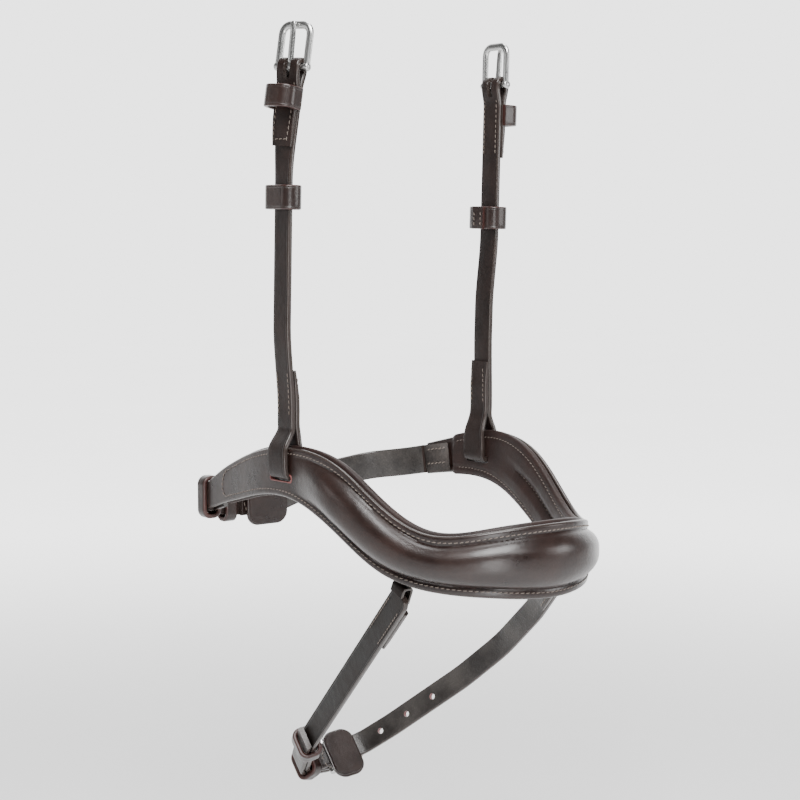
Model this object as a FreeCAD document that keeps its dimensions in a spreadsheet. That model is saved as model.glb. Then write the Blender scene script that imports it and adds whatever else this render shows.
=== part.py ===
import FreeCAD, Part
import math
import os
from FreeCAD import Placement, Rotation, Vector

# A padded bridle noseband with cheek straps, a jaw strap and a chin strap.
#
# Frame: +X is the horse's left, -Y points forward to the end of the nose, +Z is up.
# The origin is the middle of the nose opening, midway between the two cheek slots.
# Lengths are in millimetres and angles in degrees.

DIMENSIONS = [
    ("strap_width", 13.0, "width of the cheek and chin straps"),
    ("strap_thick", 2.8, "thickness of one layer of strap leather"),
    ("slot_half", 65.0, "half the distance between the cheek slots"),
    ("slot_long", 18.5, "length of a cheek slot"),
    ("slot_high", 4.6, "height of a cheek slot"),
    ("loop_width", 16.0, "width of a cheek strap where it passes through its slot"),
    ("shell_thick", 2.5, "thickness of the nosepiece's outer leather"),
    ("flange", 4.5, "flat stitched margin of the nosepiece"),
    ("dome_rise", 5.5, "height of the padded roll above the margin"),
    ("lining_front", 5.5, "thickness of the lining under the padded roll"),
    ("lining_thin", 3.0, "thickness of the lining at the slots and ends"),
    ("lining_puff", 0.8, "how far the lining's edge stands past the shell"),
    ("strap_centre", 66.0, "distance of a cheek strap's middle from the centre plane"),
    ("hinge_height", 22.4, "height at which a cheek strap bends on its loop"),
    ("turnback_height", 53.0, "height where the lower turned back end stops"),
    ("fold_foot", 163.0, "height where the upper turned back end stops"),
    ("bar_height", 202.0, "height of a cheek buckle's bar"),
    ("cheek_lean", 1.9, "forward lean of the cheek straps"),
    ("cheek_twist", 20.0, "turn of the right strap's top end about its length"),
    ("cheek_bend", 7.5, "inward bend of the right strap's top end"),
    ("wire", 1.6, "radius of a buckle's bar and frame"),
    ("play", 0.08, "running clearance round a buckle bar"),
    ("buckle_half", 8.9, "half the distance between a cheek buckle's sides"),
    ("buckle_reach", 21.0, "distance from a cheek buckle's bar to its end"),
    ("buckle_corner", 7.0, "radius of a buckle's end corners"),
    ("boss_radius", 2.2, "radius of the bosses at the ends of a bar"),
    ("tongue_wide", 2.6, "width and thickness of a buckle tongue"),
    ("keeper_thick", 2.2, "thickness of keeper leather"),
    ("keeper_high", 12.4, "height of a cheek keeper"),
    ("keeper_proud", 9.0, "how far the fixed keeper stands out from the strap"),
    ("fixed_keeper_height", 180.5, "height of the fixed keeper's lower edge"),
    ("slide_height_right", 132.0, "height of the right sliding keeper's lower edge"),
    ("slide_height_left", 124.5, "height of the left sliding keeper's lower edge"),
    ("slide_room", 0.8, "room between a sliding keeper and its strap"),
    ("jaw_width", 16.0, "width of the jaw strap"),
    ("jaw_half", 10.4, "half the distance between the jaw buckle's sides"),
    ("chin_tilt", 42.0, "downward slope of the chin strap's plane"),
    ("guard_wide", 28.0, "width of the guard pads"),
    ("jaw_sag", -0.5, "how far the jaw guard's middle hangs below its strap's middle"),
    ("chin_sag", 3.0, "how far the chin guard's middle hangs below its strap's middle"),
    ("guard_thick", 3.0, "thickness of the guard pads"),
    ("loop_leaf", 1.6, "thickness of a chin loop's leaves"),
    ("loop_gap", 3.5, "half the gap between a chin loop's leaves"),
    ("chin_neck", 7.0, "width of the chin strap's neck in its loops"),
    ("hole_radius", 1.8, "radius of the punched holes"),
    ("closure_reach", 15.5, "distance from a closure buckle's bar to its end"),
    ("closure_corner", 4.0, "radius of a closure buckle's end corners"),
    ("jaw_lift", 12.0, "outward tip of the jaw buckle from its strap end"),
    ("chin_lift", 6.0, "outward tip of the chin buckle from its strap end"),
    ("jaw_tail", 8.0, "length of the jaw strap's folded end"),
    ("chin_tail", 7.0, "length of the chin strap's folded end"),
    ("keeper_wide", 7.0, "width of the jaw and chin keepers"),
]

doc = FreeCAD.newDocument("noseband")
sheet = doc.addObject("Spreadsheet::Sheet", "Dimensions")
for row, (alias, value, note) in enumerate(DIMENSIONS, start=1):
    sheet.set(f"A{row}", note)
    sheet.set(f"B{row}", str(value))
    sheet.setAlias(f"B{row}", alias)
doc.recompute()

UP = Vector(0, 0, 1)
ACROSS = Vector(1, 0, 0)
SIDES = {"right": -1, "left": 1}
parts = []


def size(alias):
    """A driving dimension from the sheet."""
    return float(sheet.get(alias))


# ---------------------------------------------------------------- outlines


def line(a, b):
    return Part.LineSegment(Vector(a[0], a[1], 0), Vector(b[0], b[1], 0))


def polygon(points):
    return [line(a, b) for a, b in zip(points, points[1:] + points[:1])]


def arc(start, middle, end):
    """A sketch arc through three points."""
    a, b, c = (Vector(p[0], p[1], 0) for p in (start, middle, end))
    circle = Part.Circle(a, b, c)
    centre = circle.Center
    angles = [math.atan2(p.y - centre.y, p.x - centre.x) for p in (a, b, c)]
    to_middle = (angles[1] - angles[0]) % (2 * math.pi)
    to_end = (angles[2] - angles[0]) % (2 * math.pi)
    if to_middle > to_end:
        angles.reverse()
    whole = Part.Circle(centre, UP, circle.Radius)
    return Part.ArcOfCircle(whole, angles[0], angles[2])


def circle(centre, radius):
    return Part.Circle(Vector(centre[0], centre[1], 0), UP, radius)


def offset_run(points, radii, offset):
    """A run with rounded corners, moved sideways: to the left of its travel when positive."""
    edges = []
    at = [Vector(x, y, 0) for x, y in points]
    heading = [(b - a).normalize() for a, b in zip(at, at[1:])]
    left = [Vector(-h.y, h.x, 0) for h in heading]
    start = at[0] + left[0] * offset
    for i, radius in enumerate(radii):
        turn = heading[i].cross(heading[i + 1]).z
        side = 1 if turn > 0 else -1
        half = heading[i].getAngle(heading[i + 1]) / 2
        setback = radius * math.tan(half)
        first = at[i + 1] - heading[i] * setback
        last = at[i + 1] + heading[i + 1] * setback
        centre = first + left[i] * (side * radius)
        outward = (at[i + 1] - centre).normalize()
        arc_start = first + left[i] * offset
        arc_end = last + left[i + 1] * offset
        arc_middle = centre + outward * (radius - side * offset)
        edges.append(line(start, arc_start))
        edges.append(arc(arc_start, arc_middle, arc_end))
        start = arc_end
    end = at[-1] + left[-1] * offset
    edges.append(line(start, end))
    return edges, at[0] + left[0] * offset, end


def band_outline(points, radii, low, high):
    """The outline of a strap seen edge on, between two offsets from its run."""
    upper, upper_start, upper_end = offset_run(points, radii, high)
    lower, lower_start, lower_end = offset_run(points, radii, low)
    return upper + [line(upper_end, lower_end)] + lower + [line(lower_start, upper_start)]


def rounded_box(low_x, low_y, high_x, high_y, radius):
    """A rectangle with rounded corners."""
    edges = []
    diagonal = radius * (1 - math.sqrt(0.5))
    corners = [
        (high_x, high_y, 1, 1),
        (low_x, high_y, -1, 1),
        (low_x, low_y, -1, -1),
        (high_x, low_y, 1, -1),
    ]
    ends = []
    for x, y, sx, sy in corners:
        on_side = (x, y - sy * radius)
        on_end = (x - sx * radius, y)
        middle = (x - sx * diagonal, y - sy * diagonal)
        start, end = (on_side, on_end) if sx * sy > 0 else (on_end, on_side)
        edges.append(arc(start, middle, end))
        ends.append((start, end))
    for (_, end), (start, _) in zip(ends, ends[1:] + ends[:1]):
        edges.append(line(end, start))
    return edges


# ---------------------------------------------------------------- building blocks


def profile_frame(origin, along, up, drop):
    """A frame whose sketch X runs along one direction and sketch Y along another."""
    across = along.cross(up)
    turn = Rotation(along, up, across, "XYZ")
    return Placement(origin, turn) * Placement(Vector(0, 0, -drop), Rotation())


def origin_plane(body, role):
    return next(f for f in body.Origin.OriginFeatures if f.Role == role)


def add_sketch(body, name, edges, role="XY_Plane"):
    sketch = body.newObject("Sketcher::SketchObject", name)
    sketch.AttachmentSupport = [(origin_plane(body, role), "")]
    sketch.MapMode = "FlatFace"
    sketch.addGeometry(edges, False)
    return sketch


def new_body(label, placement):
    body = doc.addObject("PartDesign::Body", label)
    body.Label = label
    body.Placement = placement
    parts.append(body)
    return body


def add_pad(body, name, edges, length):
    pad = body.newObject("PartDesign::Pad", name)
    pad.Profile = add_sketch(body, name + "_sketch", edges)
    pad.setExpression("Length", f"Dimensions.{length}")
    return pad


def flat_body(label, edges, length, placement):
    """A piece cut from one outline and given one thickness."""
    body = new_body(label, placement)
    add_pad(body, label + "_pad", edges, length)
    return body


def cut_pocket(body, name, edges, start, length):
    """A pocket through the body's thickness, and proof that it removed material."""
    doc.recompute()
    before = body.Shape.Volume
    sketch = add_sketch(body, name + "_sketch", edges)
    sketch.AttachmentOffset = Placement(Vector(0, 0, start), Rotation())
    pocket = body.newObject("PartDesign::Pocket", name)
    pocket.Profile = sketch
    pocket.setExpression("Length", length)
    pocket.Reversed = True
    doc.recompute()
    if body.Shape.Volume > before - 1:
        raise RuntimeError(f"{name} cut nothing")
    return pocket


def feature(label, shape, placement=None):
    """A piece whose shape is built from Part's own functions."""
    made = doc.addObject("Part::Feature", label)
    made.Label = label
    made.Shape = shape
    if placement is not None:
        made.Placement = placement
    parts.append(made)
    return made


# ---------------------------------------------------------------- nosepiece

# Stations of the band's middle line: x, y, z and the band's height there.
NOSE_FRONT = (0.0, -127.0, -32.5, 35.0)
NOSE_SIDE = [
    (29.0, -117.0, -33.0, 31.0),
    (47.0, -94.0, -33.5, 27.0),
    (57.0, -69.0, -24.0, 32.5),
    (62.0, -46.0, -10.0, 34.0),
    (65.0, -8.0, 1.0, 26.0),
]
NOSE_LEFT_END = [(65.0, 22.0, -1.5, 20.5), (63.5, 46.0, -6.0, 18.0)]
NOSE_RIGHT_END = [
    (65.0, 22.0, -1.5, 23.0),
    (63.5, 46.0, -8.0, 21.0),
    (62.8, 61.0, -13.0, 18.5),
    (62.0, 77.0, -20.0, 15.5),
]
STATIONS_PER_SPAN = 2
DOME_ENDS_AT = -8.0
DOME_FULL_AT = -46.0
LINING_LEFT_END = 24.0
LINING_RIGHT_END = 61.0


def mirrored(stations):
    return [(-x, y, z, high) for x, y, z, high in reversed(stations)]


def smooth_step(value):
    value = min(1.0, max(0.0, value))
    return value * value * (3 - 2 * value)


def nose_stations():
    """Places along the band from the right end round the front to the left end."""
    through = mirrored(NOSE_RIGHT_END) + mirrored(NOSE_SIDE) + [NOSE_FRONT] + NOSE_SIDE + NOSE_LEFT_END
    knots = [0.0]
    for a, b in zip(through, through[1:]):
        knots.append(knots[-1] + math.dist(a[:3], b[:3]))
    middle = Part.BSplineCurve()
    middle.interpolate(Points=[Vector(*s[:3]) for s in through], Parameters=knots)
    heights = Part.BSplineCurve()
    heights.interpolate(Points=[Vector(k, s[3], 0) for k, s in zip(knots, through)], Parameters=knots)
    stations = []
    for low, high in zip(knots, knots[1:]):
        for step in range(STATIONS_PER_SPAN):
            stations.append(low + (high - low) * step / STATIONS_PER_SPAN)
    stations.append(knots[-1])
    made = []
    for at in stations:
        point = middle.value(at)
        travel = middle.tangent(at)[0]
        outward = Vector(travel.y, -travel.x, 0).normalize()
        fraction = (DOME_ENDS_AT - point.y) / (DOME_ENDS_AT - DOME_FULL_AT)
        rise = size("dome_rise") * smooth_step(fraction)
        made.append((point, outward, heights.value(at).y / 2, rise))
    return made


def dome_line(half, rise, base):
    """The margin, the roll and the other margin, from the lower edge to the upper edge."""
    inner = half - size("flange")
    return [
        (base, -half),
        (base, -inner),
        (base + 0.55 * rise, -0.75 * inner),
        (base + 0.9 * rise, -0.4 * inner),
        (base + rise, 0.0),
        (base + 0.9 * rise, 0.4 * inner),
        (base + 0.55 * rise, 0.75 * inner),
        (base, inner),
        (base, half),
    ]


def loft_band(stations, section):
    """A solid through one polygon at each station, given as outward and upward distances."""
    wires = []
    for station in stations:
        point, outward = station[:2]
        corners = [point + outward * out + UP * up for out, up in section(*station)]
        wires.append(Part.makePolygon(corners + corners[:1]))
    return Part.makeLoft(wires, True, True)


def cheek_slots(shape):
    """The shape with both cheek slots cut through it."""
    reach = 20.0
    for side in SIDES.values():
        low = Vector(side * size("slot_half") - reach / 2, -size("slot_long") / 2, 0.2 - size("slot_high"))
        shape = shape.cut(Part.makeBox(reach, size("slot_long"), size("slot_high"), low))
    return shape


def make_nosepiece():
    stations = nose_stations()

    def shell_section(point, outward, half, rise):
        return dome_line(half, rise, size("shell_thick")) + dome_line(half, rise, 0.0)[::-1]

    feature("nosepiece_shell", cheek_slots(loft_band(stations, shell_section)))

    def filler_section(point, outward, half, rise):
        return dome_line(half, rise, 0.0)[1:-1]

    domed = [s for s in stations if s[3] > 1.0]
    feature("nosepiece_filler", loft_band(domed, filler_section))

    def lining_section(point, outward, half, rise):
        share = rise / size("dome_rise")
        thick = size("lining_thin") + share * (size("lining_front") - size("lining_thin"))
        edge = half + size("lining_puff")
        return [
            (0.0, -half + 0.5),
            (-0.4 * thick, -edge),
            (-thick, -half + 3.0),
            (-thick, half - 3.0),
            (-0.4 * thick, edge),
            (0.0, half - 0.5),
        ]

    def under_lining(station):
        end = LINING_LEFT_END if station[0].x > 0 else LINING_RIGHT_END
        return station[0].y < end

    lined = [s for s in stations if under_lining(s)]
    feature("nosepiece_lining", cheek_slots(loft_band(lined, lining_section)))


# ---------------------------------------------------------------- strap ends and buckles


def fold_outline(leaf, hole, tail):
    """A strap end folded round a bar: the bar is at the origin and the strap runs to -Y."""
    outer = hole + leaf
    meet = -min(3.2 * outer, 0.7 * tail)
    shoulder = 0.35 * hole
    outline = [
        arc((outer, 0), (0, outer), (-outer, 0)),
        line((outer, 0), (outer, -shoulder)),
        line((outer, -shoulder), (leaf, meet)),
        line((leaf, meet), (leaf, -tail)),
        line((leaf, -tail), (-leaf, -tail)),
        line((-leaf, -tail), (-leaf, meet)),
        line((-leaf, meet), (-outer, -shoulder)),
        line((-outer, -shoulder), (-outer, 0)),
    ]
    eye = [
        arc((hole, 0), (0, hole), (-hole, 0)),
        line((hole, 0), (hole, -shoulder)),
        line((hole, -shoulder), (0.2, -2.8 * hole)),
        line((0.2, -2.8 * hole), (-0.2, -2.8 * hole)),
        line((-0.2, -2.8 * hole), (-hole, -shoulder)),
        line((-hole, -shoulder), (-hole, 0)),
    ]
    return outline + eye


def make_fold(label, frame, width, tail):
    """The folded strap end with the slot that lets the tongue through."""
    hole = size("wire") + size("play")
    leaf = size("strap_thick")
    body = flat_body(label, fold_outline(leaf, hole, tail), width, frame)
    gap = size("tongue_wide") / 2 + 0.7
    reach = 2 * (hole + leaf)
    depth = min(7.5, 0.6 * tail)
    slot = rounded_box(-reach, -depth, reach, reach, 0.5)
    cut_pocket(body, label + "_slot", slot, size(width) / 2 - gap, "Dimensions.tongue_wide + 1.4")


def make_frame(label, frame, half, reach, corner):
    """A D-shaped wire buckle: its bar at the origin along Z, its end at +Y."""
    body = new_body(label, frame)
    wire = size("wire")
    shoulder = wire + 0.35
    path = body.newObject("Sketcher::SketchObject", label + "_path")
    path.AttachmentSupport = [(origin_plane(body, "YZ_Plane"), "")]
    path.MapMode = "FlatFace"
    bend = corner * (1 - math.sqrt(0.5))
    path.addGeometry(
        [
            line((0, -half), (reach - corner, -half)),
            arc((reach - corner, -half), (reach - bend, -half + bend), (reach, -half + corner)),
            line((reach, -half + corner), (reach, half - corner)),
            arc((reach, half - corner), (reach - bend, half - bend), (reach - corner, half)),
            line((reach - corner, half), (0, half)),
        ],
        False,
    )
    ring = body.newObject("Sketcher::SketchObject", label + "_ring")
    ring.AttachmentSupport = [(origin_plane(body, "XZ_Plane"), "")]
    ring.MapMode = "FlatFace"
    ring.addGeometry([circle((0, -half), wire)], False)
    pipe = body.newObject("PartDesign::AdditivePipe", label + "_sides")
    pipe.Profile = ring
    pipe.Spine = path
    for name, radius, low, high in (
        ("bar", "Dimensions.wire", -half, half),
        ("boss_low", "Dimensions.boss_radius", -half - shoulder, -half + shoulder),
        ("boss_high", "Dimensions.boss_radius", half - shoulder, half + shoulder),
    ):
        rod = body.newObject("PartDesign::AdditiveCylinder", f"{label}_{name}")
        rod.AttachmentSupport = [(origin_plane(body, "XY_Plane"), "")]
        rod.MapMode = "FlatFace"
        rod.AttachmentOffset = Placement(Vector(0, 0, low), Rotation())
        rod.setExpression("Radius", radius)
        rod.Height = high - low
    return body


def make_tongue(label, frame, reach):
    """A tongue that turns on the bar at the origin and rests on the buckle's end."""
    wire = size("wire")
    thick = size("tongue_wide")
    hole = wire + size("play")
    eye = hole + 1.2
    rest = wire + 0.1
    ring = [circle((0, 0), hole), circle((0, 0), eye)]
    body = flat_body(label, ring, "tongue_wide", frame)
    tip = reach + wire + 0.6
    blade = [
        (hole + 0.1, 0.6),
        (eye, 0.0),
        (rest + thick, reach - 3.0),
        (rest + thick, reach + 0.5),
        (rest + 0.6, tip),
        (rest, tip),
        (rest, reach - 4.5),
        (0.6, 6.0),
        (0.4, hole + 0.3),
    ]
    add_pad(body, label + "_blade", polygon(blade), "tongue_wide")
    return body


# ---------------------------------------------------------------- cheek straps


def cheek_frame(side, height, beside, drop, twist=0.0, bend=0.0):
    """A sketch frame on a cheek strap: X points outward from the horse, Y up the strap.

    The strap's top end, above the foot of its fold, can be twisted and bent inward.
    """
    lean = Rotation(ACROSS, size("cheek_lean"))
    outward = Vector(side, 0, 0)
    up = lean.multVec(UP)
    foot = size("fold_foot")
    away = size("strap_thick") / 2
    pivot = Vector(side * size("strap_centre"), 0, size("hinge_height"))
    middle = pivot + outward * away + up * (min(height, foot) - size("hinge_height"))
    tip = Rotation(Vector(0, -side, 0), bend)
    up = tip.multVec(up)
    outward = tip.multVec(Rotation(UP, twist).multVec(outward))
    outward = (outward - up * outward.dot(up)).normalize()
    middle = middle + up * max(0.0, height - foot)
    return profile_frame(middle + outward * (beside - away), outward, up, drop)


def make_cheek_loop(name, side):
    """The strap's lower bend: through the slot and up both sides of the nosepiece's edge."""
    leaf = size("strap_thick")
    inner, outer = -4.6, 2.2
    shoulder, apex = 14.8, 18.2
    top = size("hinge_height") - leaf - 0.4
    floor = -0.4
    outline = [
        line((-leaf, top), (leaf, top)),
        line((leaf, top), (outer + leaf, shoulder - 1.0)),
        line((outer + leaf, shoulder - 1.0), (outer + leaf, floor)),
        arc((outer + leaf, floor), (outer + leaf * 0.7071, floor - leaf * 0.7071), (outer, floor - leaf)),
        line((outer, floor - leaf), (inner, floor - leaf)),
        arc((inner, floor - leaf), (inner - leaf * 0.7071, floor - leaf * 0.7071), (inner - leaf, floor)),
        line((inner - leaf, floor), (inner - leaf, shoulder - 1.0)),
        line((inner - leaf, shoulder - 1.0), (-leaf, top)),
    ]
    rim = [(outer, floor), (outer, shoulder), (0.2, apex), (-0.2, apex), (inner, shoulder), (inner, floor)]
    void = polygon(rim)
    origin = Vector(side * size("strap_centre"), 0, 0)
    frame = profile_frame(origin, Vector(side, 0, 0), UP, size("loop_width") / 2)
    flat_body(f"cheek_loop_{name}", outline + void, "loop_width", frame)


def make_cheek_strap(name, side):
    """The long layer with the lower turned back end inside it, from the bend up to the fold."""
    leaf = size("strap_thick")
    end = size("turnback_height") - size("hinge_height")
    top = size("fold_foot") - size("hinge_height")
    outline = [
        arc((-leaf, 0), (0, -leaf), (leaf, 0)),
        line((leaf, 0), (leaf, top)),
        line((leaf, top), (0, top)),
        line((0, top), (0, end)),
        line((0, end), (-leaf, end - 4.0)),
        line((-leaf, end - 4.0), (-leaf, 0)),
    ]
    frame = cheek_frame(side, size("hinge_height"), 0, size("strap_width") / 2)
    flat_body(f"cheek_strap_{name}", outline, "strap_width", frame)


def make_fixed_keeper(name, side, turned):
    """A band sewn in at the strap's edges that stands out to take a strap's point."""
    half = size("strap_width") / 2
    thick = size("keeper_thick")
    out = size("strap_thick") + size("keeper_proud")
    foot = 0.2
    corner = 2.5
    bend = corner * (1 - math.sqrt(0.5))
    edge = half + thick
    outline = [
        line((foot, half), (foot, edge)),
        line((foot, edge), (out - corner, edge)),
        arc((out - corner, edge), (out - bend, edge - bend), (out, edge - corner)),
        line((out, edge - corner), (out, corner - edge)),
        arc((out, corner - edge), (out - bend, bend - edge), (out - corner, -edge)),
        line((out - corner, -edge), (foot, -edge)),
        line((foot, -edge), (foot, -half)),
        line((foot, -half), (out - thick, -half)),
        line((out - thick, -half), (out - thick, half)),
        line((out - thick, half), (foot, half)),
    ]
    upright = cheek_frame(side, size("fixed_keeper_height"), size("strap_thick"), 0, *turned)
    frame = upright * Placement(Vector(), Rotation(ACROSS, -90))
    flat_body(f"cheek_fixed_keeper_{name}", outline, "keeper_high", frame)


def make_sliding_keeper(name, side):
    """A closed band that hugs the single layer and slides along it."""
    room = size("slide_room")
    half = size("strap_width") / 2 + room
    high = size("strap_thick") + room
    thick = size("keeper_thick")
    hole = polygon([(-room, -half), (high, -half), (high, half), (-room, half)])
    outer = rounded_box(-room - 1.8 * thick, -half - thick, high + thick, half + thick, 1.2)
    upright = cheek_frame(side, size(f"slide_height_{name}"), 0, 0)
    frame = upright * Placement(Vector(), Rotation(ACROSS, -90))
    flat_body(f"cheek_sliding_keeper_{name}", outer + hole, "keeper_high", frame)


def make_cheek(name, side):
    turned = (size("cheek_twist"), size("cheek_bend")) if name == "right" else (0.0, 0.0)
    make_cheek_loop(name, side)
    make_cheek_strap(name, side)
    at_bar = (side, size("bar_height"), size("strap_thick"))
    tail = size("bar_height") - size("fold_foot") - 0.5
    reach = size("buckle_reach")
    fold = cheek_frame(*at_bar, size("strap_width") / 2, *turned)
    make_fold(f"cheek_fold_{name}", fold, "strap_width", tail)
    make_fixed_keeper(name, side, turned)
    make_sliding_keeper(name, side)
    upright = cheek_frame(*at_bar, 0, *turned)
    make_frame(f"cheek_buckle_{name}", upright, size("buckle_half"), reach, size("buckle_corner"))
    make_tongue(f"cheek_tongue_{name}", cheek_frame(*at_bar, size("tongue_wide") / 2, *turned), reach)


# ---------------------------------------------------------------- closures of the jaw and chin straps

# The jaw strap's places are x, y and z in the row. Seen from above, its corners are rounded.
# A closure's bar is given as the point beside it on the buckle strap's middle line.
JAW_BAR = (-30.0, 88.5)
JAW_CLOSURE_Z = -26.5
JAW_ANGLE = 0.0
JAW_SLOPE = 51.0
JAW_TAB_START = (-59.6, 68.0, -17.5)
JAW_CORNER_Z = -23.5
JAW_CORNER = 5.0
JAW_TIP = (77.7, -20.4)
JAW_KEEPERS = [((-59.6, 84.4, -21.2), 90.0), ((-41.0, 88.5, -25.7), 0.0)]
JAW_KEEPER_ROOM = 1.4
JAW_FAR_RUN = [(20.0, 86.0, -16.5), (47.0, 80.2, -12.0), (61.0, 62.9, -9.3), (61.3, 47.6, -6.5)]
JAW_FAR_RADII = [60.0, 26.0, 26.0]
JAW_GUARD = (-7.0, 26.5)

# The chin strap's places are in its own plane: X as in the row, Y backward and down.
CHIN_ORIGIN = (0.0, -84.0, -46.0)
CHIN_HINGE = 13.0
CHIN_BAR = (0.0, 189.8)
CHIN_ANGLE = -12.0
CHIN_SLOPE = 44.0
CHIN_KEEPER_ROOM = 0.25
CHIN_TOP = (-50.0, 15.0)
CHIN_BEND = (-29.0, 156.0)
CHIN_LEG_ANGLE = 70.0
CHIN_CORNER = 10.5
CHIN_TIP = -3.0
CHIN_KEEPERS = [((-25.2, 166.4), 70.0), ((-10.2, 191.6), 25.0)]
CHIN_FAR_RUN = [(19.0, 181.0), (31.0, 163.0), (54.0, 116.0), (62.0, 84.0), (61.0, 47.0), (53.8, 15.0)]
CHIN_FAR_RADII = [14.0, 60.0, 60.0, 60.0, 60.0]
CHIN_GUARD = (-2.4, 18.6)
CHIN_TURNBACK = 36.0
CHIN_HOLES = 3
CHIN_HOLE_PITCH = 19.0
CHIN_FIRST_HOLE = 14.5
CHIN_LOOP_SLOPE = 24.0


def in_plane(origin, tilt, drop):
    """A sketch frame whose X is the row's X and whose Y slopes backward and down."""
    turn = Rotation(ACROSS, -tilt)
    return Placement(Vector(*origin), turn) * Placement(Vector(0, 0, -drop), Rotation())


def point_from(start, angle, along, beside):
    """A point of a strap's plane, given along a heading and to the left of it."""
    heading = math.radians(angle)
    run = (math.cos(heading), math.sin(heading))
    x = start[0] + run[0] * along - run[1] * beside
    y = start[1] + run[1] * along + run[0] * beside
    return (x, y)


def closure_frame(plane, start, angle, beside, drop, lift=0.0):
    """A sketch frame in a closure: X points away from the horse, Y along the heading."""
    heading = math.radians(angle)
    run = Vector(math.cos(heading), math.sin(heading), 0)
    outward = Vector(-run.y, run.x, 0)
    foot = point_from(start, angle, 0, beside)
    tip = Placement(Vector(), Rotation(UP, -lift))
    turn = Rotation(outward, run, outward.cross(run), "XYZ")
    frame = Placement(Vector(foot[0], foot[1], 0), turn)
    return plane * frame * tip * Placement(Vector(0, 0, -drop), Rotation())


def bar_centre(bar, angle):
    """The buckle bar's own middle: half a layer inside the strap's middle line."""
    return point_from(bar, angle, 0, -size("strap_thick") / 2)


def make_closure(prefix, plane, bar, angle, width, half):
    """The folded strap end with its buckle and tongue."""
    side = -size("strap_thick") / 2
    lift = size(f"{prefix}_lift")
    reach = size("closure_reach")
    fold = closure_frame(plane, bar, angle, side, size(width) / 2)
    make_fold(f"{prefix}_fold", fold, width, size(f"{prefix}_tail"))
    buckle = closure_frame(plane, bar, angle, side, 0, lift)
    make_frame(f"{prefix}_buckle", buckle, half, reach, size("closure_corner"))
    tongue = closure_frame(plane, bar, angle, side, size("tongue_wide") / 2, lift)
    make_tongue(f"{prefix}_tongue", tongue, reach)


def make_guard(prefix, plane, bar, angle, back, length):
    """The flat pad on the inner side of a closure."""
    wide = size("guard_wide") / 2
    sag = size(f"{prefix}_sag")
    under = 1.5 * size("strap_thick") + size("wire") + size("play") + 0.4
    start = point_from(bar, angle, back, -under)
    frame = closure_frame(plane, start, angle, 0, 0) * Placement(Vector(), Rotation(Vector(0, 1, 0), -90))
    pad = rounded_box(sag - wide, 0, sag + wide, length, 0.5 * wide)
    flat_body(f"{prefix}_guard", pad, "guard_thick", frame)


def meeting(first, first_angle, second, second_angle):
    """The point where two lines cross."""
    a = Vector(math.cos(first_angle), math.sin(first_angle), 0)
    b = Vector(math.cos(second_angle), math.sin(second_angle), 0)
    between = Vector(second[0] - first[0], second[1] - first[1], 0)
    along = between.cross(b).z / a.cross(b).z
    return (first[0] + a.x * along, first[1] + a.y * along)


def round_the_bar(bar, angle, lift, tail, slope):
    """The long strap's points outside the folded end, round the bar and under the buckle's end.

    The slope is the strap's angle to the buckle where it passes under the buckle's end.
    """
    leaf = size("strap_thick")
    room = 0.3
    centre = bar_centre(bar, angle)
    radius = size("wire") + size("play") + 1.5 * leaf + room
    beside = point_from(bar, angle, -0.75 * tail, leaf + 0.25)
    inside = (size("wire") + leaf / 2 + room) / math.cos(math.radians(slope))
    under = point_from(centre, angle + lift, size("closure_reach"), -inside)
    headings = []
    for point, side in ((beside, 1), (under, -1)):
        toward = math.atan2(centre[1] - point[1], centre[0] - point[0])
        headings.append(toward + side * math.asin(radius / math.dist(point, centre)))
    corner = meeting(beside, headings[0], under, headings[1])
    return [beside, corner, under], radius


def tongue_hole(bar, angle, lift):
    """The outline, in the strap's plane, of the hole the tongue stands through."""
    centre = bar_centre(bar, angle)
    near = 0.2 * size("closure_reach")
    far = 0.85 * size("closure_reach")
    corners = [(near, -6.0), (far, -6.0), (far, 9.0), (near, 9.0)]
    return polygon([point_from(centre, angle + lift, along, beside) for along, beside in corners])


def make_keeper(label, frame, half, low, high):
    """A closed band round a strap, between two distances to the strap's left."""
    thick = size("keeper_thick")
    hole = polygon([(low, -half), (high, -half), (high, half), (low, half)])
    band = rounded_box(low - thick, -half - thick, high + thick, half + thick, 1.5)
    flat_body(label, band + hole, "keeper_wide", frame * Placement(Vector(), Rotation(ACROSS, 90)))


def ribbon(points, radii, half):
    """An upright strap through points in space, its corners rounded as seen from above."""
    leaf = size("strap_thick")
    at = [Vector(*point) for point in points]
    rounded = [(at[0], (at[1] - at[0]).normalize())]
    for corner, before, after, radius in zip(at[1:], at, at[2:], radii):
        into = (corner - before).normalize()
        out = (after - corner).normalize()
        setback = radius * math.tan(Vector(into.x, into.y, 0).getAngle(Vector(out.x, out.y, 0)) / 2)
        first = corner - into * setback
        last = corner + out * setback
        rounded.append((first, into))
        for share in (0.25, 0.5, 0.75):
            blend = first * (1 - share) ** 2 + corner * 2 * share * (1 - share) + last * share**2
            rounded.append((blend, into * (1 - share) + out * share))
        rounded.append((last, out))
    rounded.append((at[-1], (at[-1] - at[-2]).normalize()))
    wires = []
    for point, travel in rounded:
        side = Vector(-travel.y, travel.x, 0).normalize() * (leaf / 2)
        rise = UP * half
        corners = [point + side + rise, point + side - rise, point - side - rise, point - side + rise]
        wires.append(Part.makePolygon(corners + corners[:1]))
    return Part.makeLoft(wires, True, True)


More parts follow.
